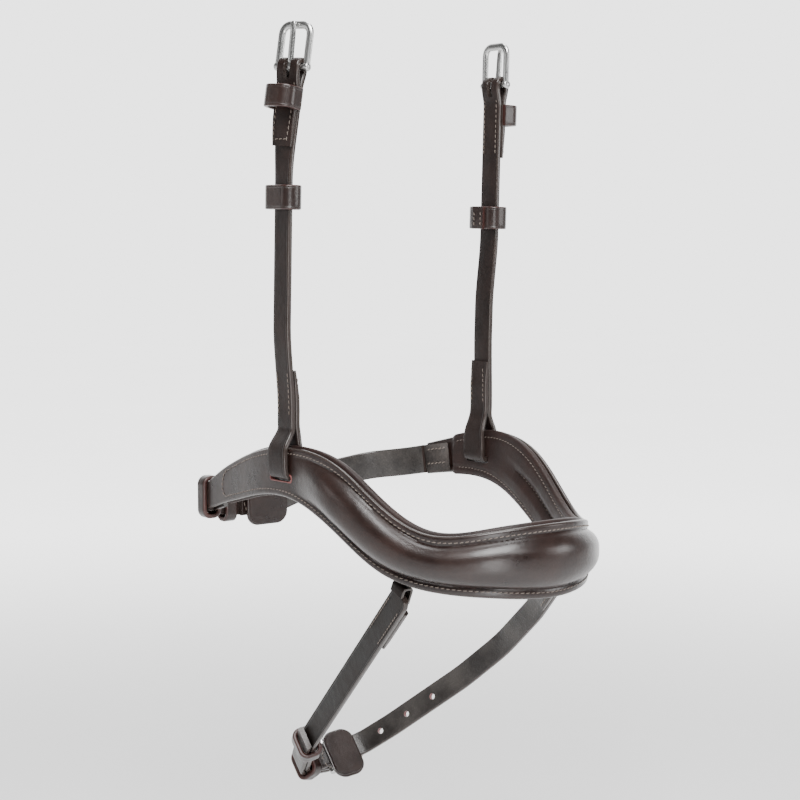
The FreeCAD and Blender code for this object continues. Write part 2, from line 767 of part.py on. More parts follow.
def make_jaw():
    leaf = size("strap_thick")
    width = "jaw_width"
    half = size(width) / 2
    middle = in_plane((0, 0, JAW_CLOSURE_Z), 0, 0)
    lift = size("jaw_lift")
    tail = size("jaw_tail")
    beside = leaf + 0.25
    tab_x = JAW_TAB_START[0]
    fold_end = JAW_BAR[0] - tail - 0.05
    tab = [JAW_TAB_START, (tab_x, JAW_BAR[1], JAW_CORNER_Z), (fold_end, JAW_BAR[1], JAW_CLOSURE_Z)]
    feature("jaw_tab", ribbon(tab, [JAW_CORNER], half))
    round_bar, bar_radius = round_the_bar(JAW_BAR, JAW_ANGLE, lift, tail, JAW_SLOPE)
    run = [(tab_x - beside, *JAW_TIP), (tab_x - beside, JAW_BAR[1] + beside, JAW_CORNER_Z)]
    run += [(x, y, JAW_CLOSURE_Z) for x, y in round_bar] + JAW_FAR_RUN
    radii = [JAW_CORNER + beside, 8.0, bar_radius, 14.0] + JAW_FAR_RADII
    slot = Part.Face(Part.Wire([edge.toShape() for edge in tongue_hole(JAW_BAR, JAW_ANGLE, lift)]))
    slot.translate(Vector(0, 0, JAW_CLOSURE_Z - size("tongue_wide") / 2 - 0.5))
    strap = ribbon(run, radii, half).cut(slot.extrude(Vector(0, 0, size("tongue_wide") + 1)))
    feature("jaw_strap", strap)
    make_closure("jaw", middle, JAW_BAR, JAW_ANGLE, width, size("jaw_half"))
    make_guard("jaw", middle, JAW_BAR, JAW_ANGLE, *JAW_GUARD)
    for count, (place, angle) in enumerate(JAW_KEEPERS, start=1):
        frame = closure_frame(in_plane((0, 0, place[2]), 0, 0), place, angle, 0, 0)
        low, high = -leaf / 2 - 0.7, beside + leaf / 2 + 0.4
        make_keeper(f"jaw_keeper_{count}", frame, half + JAW_KEEPER_ROOM, low, high)
    make_jaw_patch()


def make_jaw_patch():
    """The jaw strap's pared end, sewn to the inside of the nosepiece's left end."""
    box = doc.addObject("Part::Box", "jaw_patch")
    box.Label = "jaw_patch"
    box.Length = 1.8
    box.Width = 19.5
    box.setExpression("Height", "Dimensions.jaw_width")
    turn = Rotation(UP, 3.6) * Rotation(ACROSS, -9)
    box.Placement = Placement(Vector(62.6, 25.0, -11.0), turn)
    parts.append(box)


def add_band(body, name, outline, width, start):
    """A further layer of a strap, its width starting some way up the body's own."""
    pad = add_pad(body, name, outline, width)
    pad.Profile[0].AttachmentOffset = Placement(Vector(0, 0, start), Rotation())


def neck_and_turnback(strap, top, below, turnback, inner):
    """The pared neck above a strap's top point, and the layer sewn inside its top.

    The inner side is 1 to the left of the way down the strap and -1 to the right.
    """
    leaf = size("strap_thick")
    down = (Vector(*below, 0) - Vector(*top, 0)).normalize()

    def along(distance):
        return (top[0] + down.x * distance, top[1] + down.y * distance)

    neck = band_outline([along(-5.5), along(0)], [], -leaf / 2, leaf / 2)
    add_band(strap, strap.Label + "_neck", neck, "chin_neck", (size("strap_width") - size("chin_neck")) / 2)
    sides = sorted([inner * leaf / 2, inner * 1.5 * leaf])
    inside = band_outline([along(4.0), along(turnback)], [], *sides)
    add_band(strap, strap.Label + "_turnback", inside, "strap_width", 0)


def make_chin_loops(middle):
    """The leather loops under the nosepiece that hold the chin strap's two ends."""
    gap = size("loop_gap")
    hinge = middle.multVec(Vector(0, CHIN_HINGE, 0))
    for name, top, below in (("right", CHIN_TOP, CHIN_BEND), ("left", CHIN_FAR_RUN[-1], CHIN_FAR_RUN[-2])):
        slope = (top[0] - below[0]) / (top[1] - below[1])
        x = top[0] + slope * (CHIN_HINGE - top[1])
        outer = doc.addObject("Part::Box", f"chin_loop_outer_{name}")
        slot = doc.addObject("Part::Box", f"chin_loop_slot_{name}")
        outer.setExpression("Length", "2 * (Dimensions.loop_leaf + Dimensions.loop_gap)")
        outer.Width = 9.0
        outer.Height = 11.7
        slot.setExpression("Length", "2 * Dimensions.loop_gap")
        slot.Width = 11.0
        slot.Height = 9.5
        frame = Placement(Vector(x, hinge.y, hinge.z), Rotation(ACROSS, CHIN_LOOP_SLOPE))
        outer.Placement = frame * Placement(Vector(-gap - size("loop_leaf"), -4.5, -2.5), Rotation())
        slot.Placement = frame * Placement(Vector(-gap, -5.5, -3.5), Rotation())
        loop = doc.addObject("Part::Cut", f"chin_loop_{name}")
        loop.Label = f"chin_loop_{name}"
        loop.Base = outer
        loop.Tool = slot
        parts.append(loop)


def make_chin():
    leaf = size("strap_thick")
    width = "strap_width"
    tilt = size("chin_tilt")
    middle = in_plane(CHIN_ORIGIN, tilt, 0)
    low = in_plane(CHIN_ORIGIN, tilt, size(width) / 2)
    lift = size("chin_lift")
    tail = size("chin_tail")
    beside = leaf + 0.25
    angles = (math.radians(CHIN_LEG_ANGLE), math.radians(CHIN_ANGLE))

    corner = meeting(CHIN_BEND, angles[0], CHIN_BAR, angles[1])
    foot = point_from(CHIN_BAR, CHIN_ANGLE, -tail - 0.05, 0)
    run = [CHIN_TOP, CHIN_BEND, corner, foot]
    outline = band_outline(run, [40.0, CHIN_CORNER], -leaf / 2, leaf / 2)
    short = flat_body("chin_short_strap", outline, width, low)
    neck_and_turnback(short, CHIN_TOP, CHIN_BEND, CHIN_TURNBACK, -1)

    outer_leg = point_from(CHIN_BEND, CHIN_LEG_ANGLE, CHIN_TIP, beside)
    outer_corner = meeting(outer_leg, angles[0], point_from(CHIN_BAR, CHIN_ANGLE, 0, beside), angles[1])
    round_bar, bar_radius = round_the_bar(CHIN_BAR, CHIN_ANGLE, lift, tail, CHIN_SLOPE)
    run = [outer_leg, outer_corner] + round_bar + CHIN_FAR_RUN
    radii = [CHIN_CORNER + beside, 8.0, bar_radius, 6.0] + CHIN_FAR_RADII
    long = flat_body("chin_long_strap", band_outline(run, radii, -leaf / 2, leaf / 2), width, low)
    gap = size("tongue_wide") / 2 + 0.5
    hole = tongue_hole(CHIN_BAR, CHIN_ANGLE, lift)
    cut_pocket(long, "chin_tongue_hole", hole, size(width) / 2 - gap, "Dimensions.tongue_wide + 1")
    punch_holes(long)
    neck_and_turnback(long, CHIN_FAR_RUN[-1], CHIN_FAR_RUN[-2], 0.6 * CHIN_TURNBACK, 1)

    make_closure("chin", middle, CHIN_BAR, CHIN_ANGLE, width, size("buckle_half"))
    make_guard("chin", middle, CHIN_BAR, CHIN_ANGLE, *CHIN_GUARD)
    for count, (place, angle) in enumerate(CHIN_KEEPERS, start=1):
        frame = closure_frame(middle, place, angle, 0, 0)
        low, high = -leaf / 2 - 2.2, beside + leaf / 2 + 0.6
        make_keeper(f"chin_keeper_{count}", frame, size(width) / 2 + CHIN_KEEPER_ROOM, low, high)
    make_chin_loops(middle)


def punch_holes(strap):
    """The row of spare holes along the far leg of the long strap."""
    corner = Vector(*CHIN_FAR_RUN[0], 0)
    bend = Vector(*CHIN_FAR_RUN[1], 0)
    toward = (bend - corner).normalize()
    beyond = (Vector(*CHIN_FAR_RUN[2], 0) - bend).normalize()
    first_leg = (bend - corner).Length
    for count in range(CHIN_HOLES):
        at = CHIN_FIRST_HOLE + count * CHIN_HOLE_PITCH
        run = toward if at < first_leg else beyond
        centre = corner + toward * min(at, first_leg) + beyond * max(0.0, at - first_leg)
        across = Vector(-run.y, run.x, 0)
        hole = strap.newObject("PartDesign::SubtractiveCylinder", f"chin_hole_{count + 1}")
        hole.AttachmentSupport = [(origin_plane(strap, "XY_Plane"), "")]
        hole.MapMode = "FlatFace"
        hole.setExpression("Radius", "Dimensions.hole_radius")
        hole.Height = 12.0
        middle = Vector(centre.x, centre.y, size("strap_width") / 2) - across * 6.0
        hole.AttachmentOffset = Placement(middle, Rotation(UP, across))


make_nosepiece()
for name, side in SIDES.items():
    make_cheek(name, side)
make_jaw()
make_chin()
doc.recompute()

for part in parts:
    for state in part.State:
        if state in ("Invalid", "Error"):
            raise RuntimeError(f"{part.Label} is {state}")
    if part.Shape.isNull() or not part.Shape.isValid():
        raise RuntimeError(f"{part.Label} has no valid shape")

os.makedirs("parts", exist_ok=True)
for part in parts:
    part.Shape.exportStep(f"parts/{part.Label}.step")
    box = part.Shape.BoundBox
    low = f"{box.XMin:.1f} {box.YMin:.1f} {box.ZMin:.1f}"
    high = f"{box.XMax:.1f} {box.YMax:.1f} {box.ZMax:.1f}"
    print(f"{part.Label:28s} {part.Shape.Volume:10.1f}  from {low}  to {high}")
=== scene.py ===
import math
import random
from collections import namedtuple

import bmesh
import bpy
import numpy as np
from mathutils import Matrix, Vector


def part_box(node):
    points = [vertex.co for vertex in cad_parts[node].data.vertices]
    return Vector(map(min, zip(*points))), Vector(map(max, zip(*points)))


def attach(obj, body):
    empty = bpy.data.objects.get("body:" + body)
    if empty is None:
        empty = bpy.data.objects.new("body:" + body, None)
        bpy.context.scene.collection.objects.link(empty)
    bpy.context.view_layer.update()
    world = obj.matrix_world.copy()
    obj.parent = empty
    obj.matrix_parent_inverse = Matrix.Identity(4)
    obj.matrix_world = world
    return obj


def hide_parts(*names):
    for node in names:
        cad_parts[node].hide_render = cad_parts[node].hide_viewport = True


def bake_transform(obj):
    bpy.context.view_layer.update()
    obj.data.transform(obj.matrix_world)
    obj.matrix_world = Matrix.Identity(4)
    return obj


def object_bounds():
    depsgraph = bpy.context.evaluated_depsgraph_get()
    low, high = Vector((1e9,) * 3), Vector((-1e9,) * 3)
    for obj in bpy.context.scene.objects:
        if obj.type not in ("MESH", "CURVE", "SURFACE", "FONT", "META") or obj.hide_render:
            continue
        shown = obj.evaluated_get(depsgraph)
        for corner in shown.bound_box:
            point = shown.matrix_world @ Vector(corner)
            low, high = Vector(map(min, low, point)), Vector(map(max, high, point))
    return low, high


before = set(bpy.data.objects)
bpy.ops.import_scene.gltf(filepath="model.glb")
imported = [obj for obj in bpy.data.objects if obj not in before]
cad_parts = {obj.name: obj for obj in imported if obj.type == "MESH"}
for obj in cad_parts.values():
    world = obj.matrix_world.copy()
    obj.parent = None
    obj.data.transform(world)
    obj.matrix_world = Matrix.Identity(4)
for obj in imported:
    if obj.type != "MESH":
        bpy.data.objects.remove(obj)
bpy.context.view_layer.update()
random.seed(7)

# Lengths are in millimetres until a mesh is made. The stage and the materials' bumps are in metres.
MM = 0.001
CM = 10.0
UP = np.array([0.0, 0.0, 1.0])
SIDES = {"right": -1, "left": 1}

LEAF = 2.8  # a strap's thickness
STRAP = 13.0  # the width of a cheek or chin strap
JAW_STRAP = 16.0
WIRE = 1.6  # the radius of a buckle's bar


def vec(*values):
    return np.array(values, float)


def unit(v):
    return v / np.linalg.norm(v)


def smooth_step(value):
    value = np.clip(value, 0.0, 1.0)
    return value * value * (3 - 2 * value)


def turned(v, axis, degrees):
    """A vector turned about an axis."""
    turn = Matrix.Rotation(math.radians(degrees), 3, Vector(axis))
    return np.array(turn @ Vector(v))


def circle(count):
    """Angles round a circle."""
    return [2 * math.pi * k / count for k in range(count)]


def run_lengths(path):
    """Each point's distance along a path."""
    return np.concatenate([[0], np.cumsum(np.linalg.norm(np.diff(path, axis=0), axis=1))])


def at_length(where, lengths, values):
    """What values given along a path are at one or more distances."""
    return np.stack([np.interp(where, lengths, column) for column in values.T], axis=-1)


def laid(outline, middle, first, second):
    """A flat outline laid out in space along two directions."""
    return np.array([middle + first * a + second * b for a, b in outline])


# ---------------------------------------------------------------- materials

# a colour Mix node's sockets
MIX_SHARE, MIX_A, MIX_B, MIX_OUT = 0, 6, 7, 2
# how far a strap's creased line is from its edge, in centimetres, as its UV map is
CREASE = 0.14


def new_material(name):
    made = bpy.data.materials.new(name)
    made.use_nodes = True
    return made, made.node_tree


def set_inputs(tree, node, inputs):
    """Sets a node's inputs, each from a value or from another node's output."""
    for socket, value in inputs.items():
        if isinstance(value, bpy.types.NodeSocket):
            tree.links.new(value, node.inputs[socket])
        else:
            node.inputs[socket].default_value = value


def add(tree, kind, inputs=None, **settings):
    """The outputs of a new node."""
    node = tree.nodes.new("ShaderNode" + kind)
    for key, value in settings.items():
        setattr(node, key, value)
    set_inputs(tree, node, inputs or {})
    return node.outputs


def noise(tree, coords, scale, detail, rough):
    inputs = {"Vector": coords, "Scale": scale, "Detail": detail, "Roughness": rough}
    return add(tree, "TexNoise", inputs)["Fac"]


def ramp(tree, value, low, high, dark, light, **settings):
    inputs = {"Value": value, "From Min": low, "From Max": high, "To Min": dark, "To Max": light}
    return add(tree, "MapRange", inputs, **settings)["Result"]


def mix_colour(tree, share, a, b, **settings):
    a, b = ((*c, 1.0) if isinstance(c, tuple) else c for c in (a, b))
    inputs = {MIX_SHARE: share, MIX_A: a, MIX_B: b}
    return add(tree, "Mix", inputs, data_type="RGBA", **settings)[MIX_OUT]


def add_bump(tree, height, strength, distance, below=None):
    inputs = {"Height": height, "Strength": strength, "Distance": distance}
    if below is not None:
        inputs["Normal"] = below
    return add(tree, "Bump", inputs)["Normal"]


def leather(
    name, dark, light, rough, coat, grain=1.0, pores=1100.0, creased=False, shine=0.4
):
    """Leather with a pebbled grain, mottled colour and, on straps, a creased line by each edge."""
    made, tree = new_material(name)
    coords = add(tree, "TexCoord")["Object"]
    mottle = noise(tree, coords, 60.0, 5.0, 0.6)
    fine = noise(tree, coords, 1900.0, 4.0, 0.6)
    wrinkle = noise(tree, coords, 190.0, 3.0, 0.55)
    inputs = {"Vector": coords, "Scale": pores}
    cells = add(tree, "TexVoronoi", inputs, feature="DISTANCE_TO_EDGE")["Distance"]
    cloud = ramp(tree, mottle, 0.35, 0.68, 0.0, 1.0)
    # the grain's pits are darkened: partly the grain's own tone, partly painted shade in its
    # recesses
    pit_tone_and_shade = ramp(tree, cells, 0.0, 0.22, 0.55, 1.0)
    colour = mix_colour(tree, cloud, dark, light)
    colour = mix_colour(tree, 0.5, colour, pit_tone_and_shade, blend_type="MULTIPLY")
    normal = add_bump(tree, cells, 0.22 * grain, 0.0004)
    normal = add_bump(tree, fine, 0.16 * grain, 0.0002, normal)
    normal = add_bump(tree, wrinkle, 0.22 * grain, 0.0009, normal)
    if creased:
        place = add(tree, "UVMap", uv_map="strap")["UV"]
        from_edge = add(tree, "SeparateXYZ", {"Vector": place})["Y"]
        off = add(tree, "Math", {0: from_edge, 1: CREASE}, operation="SUBTRACT")["Value"]
        size = add(tree, "Math", {0: off}, operation="ABSOLUTE")["Value"]
        groove = ramp(tree, size, 0.0, 0.03, 0.0, 1.0)
        normal = add_bump(tree, groove, 0.5, 0.0005, normal)
    inputs = {
        "Base Color": colour,
        "Roughness": ramp(tree, mottle, 0.3, 0.7, *rough),
        "Normal": normal,
        "Specular IOR Level": shine,
        "Coat Weight": coat,
        "Coat Roughness": 0.24,
    }
    set_inputs(tree, tree.nodes["Principled BSDF"], inputs)
    return made


def plain(name, dark, light, rough, scale, bump, metallic=0.0, distance=0.0002):
    """A finish with a little mottling and a fine bump."""
    made, tree = new_material(name)
    coords = add(tree, "TexCoord")["Object"]
    mottle = noise(tree, coords, scale, 4.0, 0.6)
    inputs = {
        "Base Color": mix_colour(tree, mottle, dark, light),
        "Roughness": ramp(tree, mottle, 0.3, 0.7, 0.9 * rough, 1.15 * rough),
        "Normal": add_bump(tree, mottle, bump, distance),
        "Metallic": metallic,
    }
    set_inputs(tree, tree.nodes["Principled BSDF"], inputs)
    return made


OUTER = leather(
    "outer_leather", (0.0110, 0.0054, 0.0044), (0.0235, 0.0118, 0.0094), (0.25, 0.37), 0.35
)
STRAP_LEATHER = leather(
    "strap_leather", (0.0090, 0.0050, 0.0041), (0.0190, 0.0102, 0.0082), (0.33, 0.48), 0.05,
    creased=True, shine=0.26,
)
KEEPER_LEATHER = leather(
    "keeper_leather", (0.0125, 0.0064, 0.0052), (0.027, 0.0138, 0.0110), (0.27, 0.40), 0.4,
    creased=True,
)
# a darker copy of the strap leather, holding painted shade, for the near chin strap and the chin
# hangers
NEAR_CHIN_SHADED = leather(
    "near_chin_shaded_leather", (0.0060, 0.0045, 0.0038), (0.0130, 0.0086, 0.0070), (0.36, 0.5), 0.0,
    creased=True, shine=0.14,
)
ROUGH_STRAP = leather(
    "rough_strap_leather", (0.0115, 0.0088, 0.0078), (0.046, 0.040, 0.036), (0.34, 0.5), 0.15,
    2.4, 640.0, shine=0.5,
)
LINING = leather(
    "lining_leather", (0.014, 0.0062, 0.0050), (0.027, 0.0122, 0.0094), (0.5, 0.64), 0.05,
    1.2, 900.0, shine=0.3,
)
FLESH = plain(
    "flesh_leather", (0.010, 0.0075, 0.0065), (0.058, 0.046, 0.040), 0.7, 420.0, 0.9,
    distance=0.0007,
)
EDGE = plain("edge_paint", (0.13, 0.037, 0.034), (0.25, 0.082, 0.074), 0.42, 160.0, 0.25)
WORN_EDGE = plain("worn_edge", (0.018, 0.0085, 0.0072), (0.060, 0.021, 0.0175), 0.36, 90.0, 0.25)
DARK_EDGE = plain("dark_edge", (0.018, 0.0125, 0.0108), (0.042, 0.031, 0.027), 0.24, 160.0, 0.2)
THREAD = plain("thread", (0.085, 0.066, 0.055), (0.20, 0.165, 0.14), 0.62, 900.0, 0.5)
STEEL = plain("steel", (0.47, 0.47, 0.465), (0.62, 0.62, 0.61), 0.27, 120.0, 0.0, metallic=1.0)
# what each kind of strap is finished with: its faces, then its edges
STRAP_FINISH = [STRAP_LEATHER, DARK_EDGE]
# the near chin strap's faces carry painted shade
CHIN_SHADED_FINISH = [NEAR_CHIN_SHADED, DARK_EDGE]
ROUGH_FINISH = [ROUGH_STRAP, DARK_EDGE]
KEEPER_FINISH = [KEEPER_LEATHER, WORN_EDGE]
BAND_FINISH = [OUTER, WORN_EDGE]
WIRE_FINISH = [STEEL, STEEL]


# ---------------------------------------------------------------- meshes


def new_object(name, data):
    obj = bpy.data.objects.new(name, data)
    bpy.context.scene.collection.objects.link(obj)
    return obj


def make_solid(name, points, faces, materials, indices=None, strap_uv=None, smooth=True):
    """A closed mesh from points in millimetres; strap_uv is each point's place for the crease."""
    mesh = bpy.data.meshes.new(name)
    mesh.from_pydata((np.asarray(points) * MM).tolist(), [], [tuple(f) for f in faces])
    for material in materials:
        mesh.materials.append(material)
    if indices is not None:
        mesh.polygons.foreach_set("material_index", indices)
    if smooth:
        mesh.polygons.foreach_set("use_smooth", [True] * len(mesh.polygons))
    if strap_uv is not None:
        layer = mesh.uv_layers.new(name="strap")
        corners = np.zeros(len(mesh.loops), int)
        mesh.loops.foreach_get("vertex_index", corners)
        layer.data.foreach_set("uv", np.asarray(strap_uv)[corners].astype(np.float32).ravel())
    mesh.update()
    made = bmesh.new()
    made.from_mesh(mesh)
    bmesh.ops.recalc_face_normals(made, faces=made.faces)
    if made.calc_volume(signed=True) < 0:
        bmesh.ops.reverse_faces(made, faces=made.faces)
    made.to_mesh(mesh)
    made.free()
    return new_object(name, mesh)


def rounded_rectangle(half_wide, half_high, radius, steps=5):
    """Points round a rectangle with rounded corners."""
    points = []
    for x_way, y_way, first in ((1, 1, 0), (-1, 1, 90), (-1, -1, 180), (1, -1, 270)):
        for step in range(steps):
            a = math.radians(first + 90 * step / (steps - 1))
            x = x_way * (half_wide - radius) + radius * math.cos(a)
            points.append((x, y_way * (half_high - radius) + radius * math.sin(a)))
    return points


def section(half_wide, half_thick, radius):
    """A strap's section as points across and out, and which strips belong to its edges."""
    points = rounded_rectangle(half_wide, half_thick, radius)
    outer_face = np.linspace(half_wide - radius, radius - half_wide, 7)[1:-1]
    points[5:5] = [(x, half_thick) for x in outer_face]
    edge = []
    for a, b in zip(points, points[1:] + points[:1]):
        edge.append(abs(a[0] + b[0]) / 2 > half_wide - 0.62 * radius)
    return points, edge


def skin(count, size, closed=False, first=0):
    """Faces over rings of points, with a cap at each end where the rings don't close."""
    faces = []
    for i in range(count if closed else count - 1):
        j = (i + 1) % count
        for k in range(size):
            m = (k + 1) % size
            faces.append((i * size + k, j * size + k, j * size + m, i * size + m))
    if not closed:
        faces.append(tuple(range(size))[::-1])
        faces.append(tuple((count - 1) * size + k for k in range(size)))
    return [tuple(first + corner for corner in face) for face in faces]


def tangents(centres, closed):
    if closed:
        return np.roll(centres, -1, 0) - np.roll(centres, 1, 0)
    return np.gradient(centres, axis=0)


def sweep(name, centres, across, half_wide, half_thick, materials, radius=None, closed=False):
    """A strap of rounded rectangular section along a path. across is the direction of its width."""
    centres = np.asarray(centres, float)
    count = len(centres)
    across = np.broadcast_to(np.asarray(across, float), (count, 3))
    wide = np.broadcast_to(np.asarray(half_wide, float), (count,))
    thick = np.broadcast_to(np.asarray(half_thick, float), (count,))
    travel = tangents(centres, closed)
    lengths = run_lengths(centres)
    points = []
    uv = []
    for i in range(count):
        normal = unit(np.cross(across[i], travel[i]))
        side = unit(np.cross(travel[i], normal))
        corner = min(thick[i] * 0.8, radius if radius else thick[i] * 0.62)
        ring, edge = section(wide[i], thick[i], corner)
        for x, t in ring:
            points.append(centres[i] + side * x + normal * t)
            uv.append((lengths[i] / CM, (wide[i] - abs(x)) / CM))
    indices = [int(on_edge) for on_edge in edge] * (count if closed else count - 1)
    if not closed:
        indices += [1, 1]
    obj = make_solid(name, points, skin(count, len(ring), closed), materials, indices, uv)
    if not closed:
        for face in obj.data.polygons[-2:]:
            face.use_smooth = False
    return obj


def tube(name, centres, radii, material, closed=False, across=UP, sides=20):
    """A wire along a path; across is any direction that the path doesn't take."""
    centres = np.asarray(centres, float)
    count = len(centres)
    radii = np.broadcast_to(np.asarray(radii, float), (count,))
    travel = tangents(centres, closed)
    points = []
    for i in range(count):
        normal = np.cross(across, travel[i])
        normal = unit(normal) if np.linalg.norm(normal) > 1e-6 else vec(1, 0, 0)
        side = unit(np.cross(travel[i], normal))
        for a in circle(sides):
            points.append(centres[i] + radii[i] * (side * math.cos(a) + normal * math.sin(a)))
    return make_solid(name, points, skin(count, sides, closed), [material])


def joined(name, objects):
    """One object from several."""
    made = bmesh.new()
    materials = []
    for obj in objects:
        offset = {}
        for i, material in enumerate(obj.data.materials):
            if material not in materials:
                materials.append(material)
            offset[i] = materials.index(material)
        for face in obj.data.polygons:
            face.material_index = offset[face.material_index]
        made.from_mesh(obj.data)
    mesh = bpy.data.meshes.new(name)
    made.to_mesh(mesh)
    made.free()
    for material in materials:
        mesh.materials.append(material)
    for obj in objects:
        bpy.data.objects.remove(obj)
    return new_object(name, mesh)


def rounded_path(points, radii, step=1.0):
    """A path through points in space with its corners rounded, sampled evenly."""
    at = [np.array(p, float) for p in points]
    path = [at[0]]
    for before, corner, after, radius in zip(at, at[1:], at[2:], radii):
        into = unit(corner - before)
        out = unit(after - corner)
        half = math.acos(np.clip(into @ out, -1, 1)) / 2
        setback = radius * math.tan(half)
        first = corner - into * setback
        last = corner + out * setback
        # an arc that touches both legs
        for share in np.linspace(0, 1, 13):
            weight = math.cos(half)
            terms = ((1 - share) ** 2, 2 * share * (1 - share) * weight, share**2)
            path.append((first * terms[0] + corner * terms[1] + last * terms[2]) / sum(terms))
    path.append(at[-1])
    return resampled(path, step)


def resampled(path, step):
    """The path with its points a step apart."""
    path = np.array(path)
    lengths = run_lengths(path)
    count = max(2, int(round(lengths[-1] / step)) + 1)
    return at_length(np.linspace(0, lengths[-1], count), lengths, path)


def softened(path, times=2):
    """The path with small kinks smoothed away, its ends kept."""
    path = path.copy()
    for _ in range(times):
        path[1:-1] = (path[:-2] + 2 * path[1:-1] + path[2:]) / 4
    return path


# a stitch's places along its length, with how thick it is and how high it lies there, as shares
STITCH = (
    (-0.5, 0.35, -0.45), (-0.42, 0.85, 0.0), (-0.2, 1.0, 0.75),
    (0.2, 1.0, 0.75), (0.42, 0.85, 0.0), (0.5, 0.35, -0.45),
)
STITCH_SIDES = 8


def stitches(name, body, rows, pitch=2.7, length=1.9, radius=0.25, slant=9.0):
    """Thread lying along rows. A row is (points, normals) on the leather's surface."""
    points = []
    faces = []
    for path, normals in rows:
        path = np.asarray(path, float)
        normals = np.broadcast_to(np.asarray(normals, float), path.shape)
        lengths = run_lengths(path)
        for count in range(int(lengths[-1] / pitch)):
            middle = (count + 0.5) * pitch
            place = at_length(middle, lengths, path)
            fore = at_length(min(middle + 1.0, lengths[-1]), lengths, path)
            aft = at_length(max(middle - 1.0, 0), lengths, path)
            normal = unit(at_length(middle, lengths, normals))
            run = turned(unit(fore - aft), normal, slant + random.uniform(-3, 3))
            side = unit(np.cross(normal, run))
            long = length * random.uniform(0.95, 1.05)
            faces += skin(len(STITCH), STITCH_SIDES, first=len(points))
            for along, swell, lift in STITCH:
                centre = place + run * along * long + normal * lift * radius
                for a in circle(STITCH_SIDES):
                    turn = side * math.cos(a) + normal * math.sin(a) * 0.8
                    points.append(centre + radius * swell * turn)
    obj = make_solid(name, points, faces, [THREAD])
    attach(obj, body)


def cut(obj, cutters):
    """Cuts holes; the cut faces take the cutter's finish."""
    for cutter in cutters:
        tool = obj.modifiers.new("cut", "BOOLEAN")
        tool.object = cutter
        tool.solver = "EXACT"
        tool.material_mode = "TRANSFER"
        bpy.context.view_layer.objects.active = obj
        bpy.ops.object.modifier_apply(modifier=tool.name)
        bpy.data.objects.remove(cutter)
    for face in obj.data.polygons:
        face.use_smooth = True
    obj.data.set_sharp_from_angle(angle=math.radians(40))


def copy_of(node, name, material, round_by):
    """A piece shaped like a CAD node, with rounded edges."""
    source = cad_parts[node]
    mesh = source.data.copy()
    mesh.transform(source.matrix_world)
    mesh.materials.clear()
    mesh.materials.append(material)
    made = bmesh.new()
    made.from_mesh(mesh)
    bmesh.ops.remove_doubles(made, verts=made.verts, dist=2e-6)
    flat = math.radians(3)
    bmesh.ops.dissolve_limit(made, angle_limit=flat, verts=made.verts, edges=made.edges)
    shared = [edge for edge in made.edges if len(edge.link_faces) == 2]
    sharp = [edge for edge in shared if edge.calc_face_angle(0) > math.radians(35)]
    size = round_by * MM
    bmesh.ops.bevel(
        made, geom=sharp, offset=size, segments=3, affect="EDGES", clamp_overlap=True
    )
    made.normal_update()
    for face in made.faces:
        face.smooth = True
        face.material_index = 0
    made.to_mesh(mesh)
    made.free()
    mesh.set_sharp_from_angle(angle=math.radians(50))
    return new_object(name, mesh)


def hand_over(obj, body, *nodes, slot="outer_leather"):
    """Says which body a piece rides on and which CAD nodes it stands for; slot is not used."""
    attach(obj, body)
    if nodes:
        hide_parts(*nodes)


# ---------------------------------------------------------------- nosepiece

SHELL = 2.5
SLOT_LONG, SLOT_HIGH = 18.5, 3.6
SLOT_CORNER = 1.3
SLOT_MIDDLE = -1.7  # its height in the frame
SLOT_SIDE = 65.0
FLANGE = 4.5
RISE = 5.5  # how far the padded roll stands out
LINING_THIN, LINING_SWELL = 3.0, 2.5
# places that the band's middle line goes through, and its width there: x, y, z, width
FRONT = (0.0, -127.0, -32.5, 35.0)
THROUGH_SIDE = [
    (29.0, -117.0, -33.0, 31.0),
    (47.0, -94.0, -33.5, 27.0),
    (57.0, -69.0, -24.0, 32.5),
    (62.0, -46.0, -10.0, 34.0),
    (65.0, -8.0, 1.0, 26.0),
]
LEFT_END = [(65.0, 22.0, -1.5, 20.5), (63.5, 46.0, -6.0, 18.0)]
RIGHT_END = [
    (65.0, 22.0, -1.5, 23.0),
    (63.5, 46.0, -8.0, 21.0),
    (62.8, 61.0, -13.0, 18.5),
    (62.0, 77.0, -20.0, 15.5),
]

Station = namedtuple("Station", "point outward half rise where")


def mirrored(stations):
    return [(-x, y, z, high) for x, y, z, high in reversed(stations)]


def spline(knots, values):
    """A smooth curve through values, as a function of the knots."""
    knots = np.asarray(knots, float)
    values = np.asarray(values, float)
    gap = np.diff(knots)
    count = len(knots)
    rows = np.zeros((count, count))
    right = np.zeros((count, values.shape[1]))
    rows[0, 0] = rows[-1, -1] = 1
    for i in range(1, count - 1):
        rows[i, i - 1], rows[i, i], rows[i, i + 1] = gap[i - 1], 2 * (gap[i - 1] + gap[i]), gap[i]
        after = (values[i + 1] - values[i]) / gap[i]
        right[i] = 6 * (after - (values[i] - values[i - 1]) / gap[i - 1])
    bend = np.linalg.solve(rows, right)

    def at(where):
        i = min(count - 2, max(0, int(np.searchsorted(knots, where)) - 1))
        a = (knots[i + 1] - where) / gap[i]
        b = 1 - a
        curve = ((a**3 - a) * bend[i] + (b**3 - b) * bend[i + 1]) * gap[i] ** 2 / 6
        return a * values[i] + b * values[i + 1] + curve

    return at


through = mirrored(RIGHT_END) + mirrored(THROUGH_SIDE) + [FRONT] + THROUGH_SIDE + LEFT_END
through = np.array(through)
nose_knots = run_lengths(through[:, :3])
nose_curve = spline(nose_knots, through)


def nose_stations(step=1.2):
    made = []
    for where in np.linspace(0, nose_knots[-1], int(nose_knots[-1] / step)):
        value = nose_curve(where)
        travel = nose_curve(min(where + 0.5, nose_knots[-1])) - nose_curve(max(where - 0.5, 0))
        outward = unit(vec(travel[1], -travel[0], 0))
        rise = RISE * float(smooth_step((-8.0 - value[1]) / 38.0))
        made.append(Station(value[:3], outward, value[3] / 2, rise, where))
    return made


stations = nose_stations()


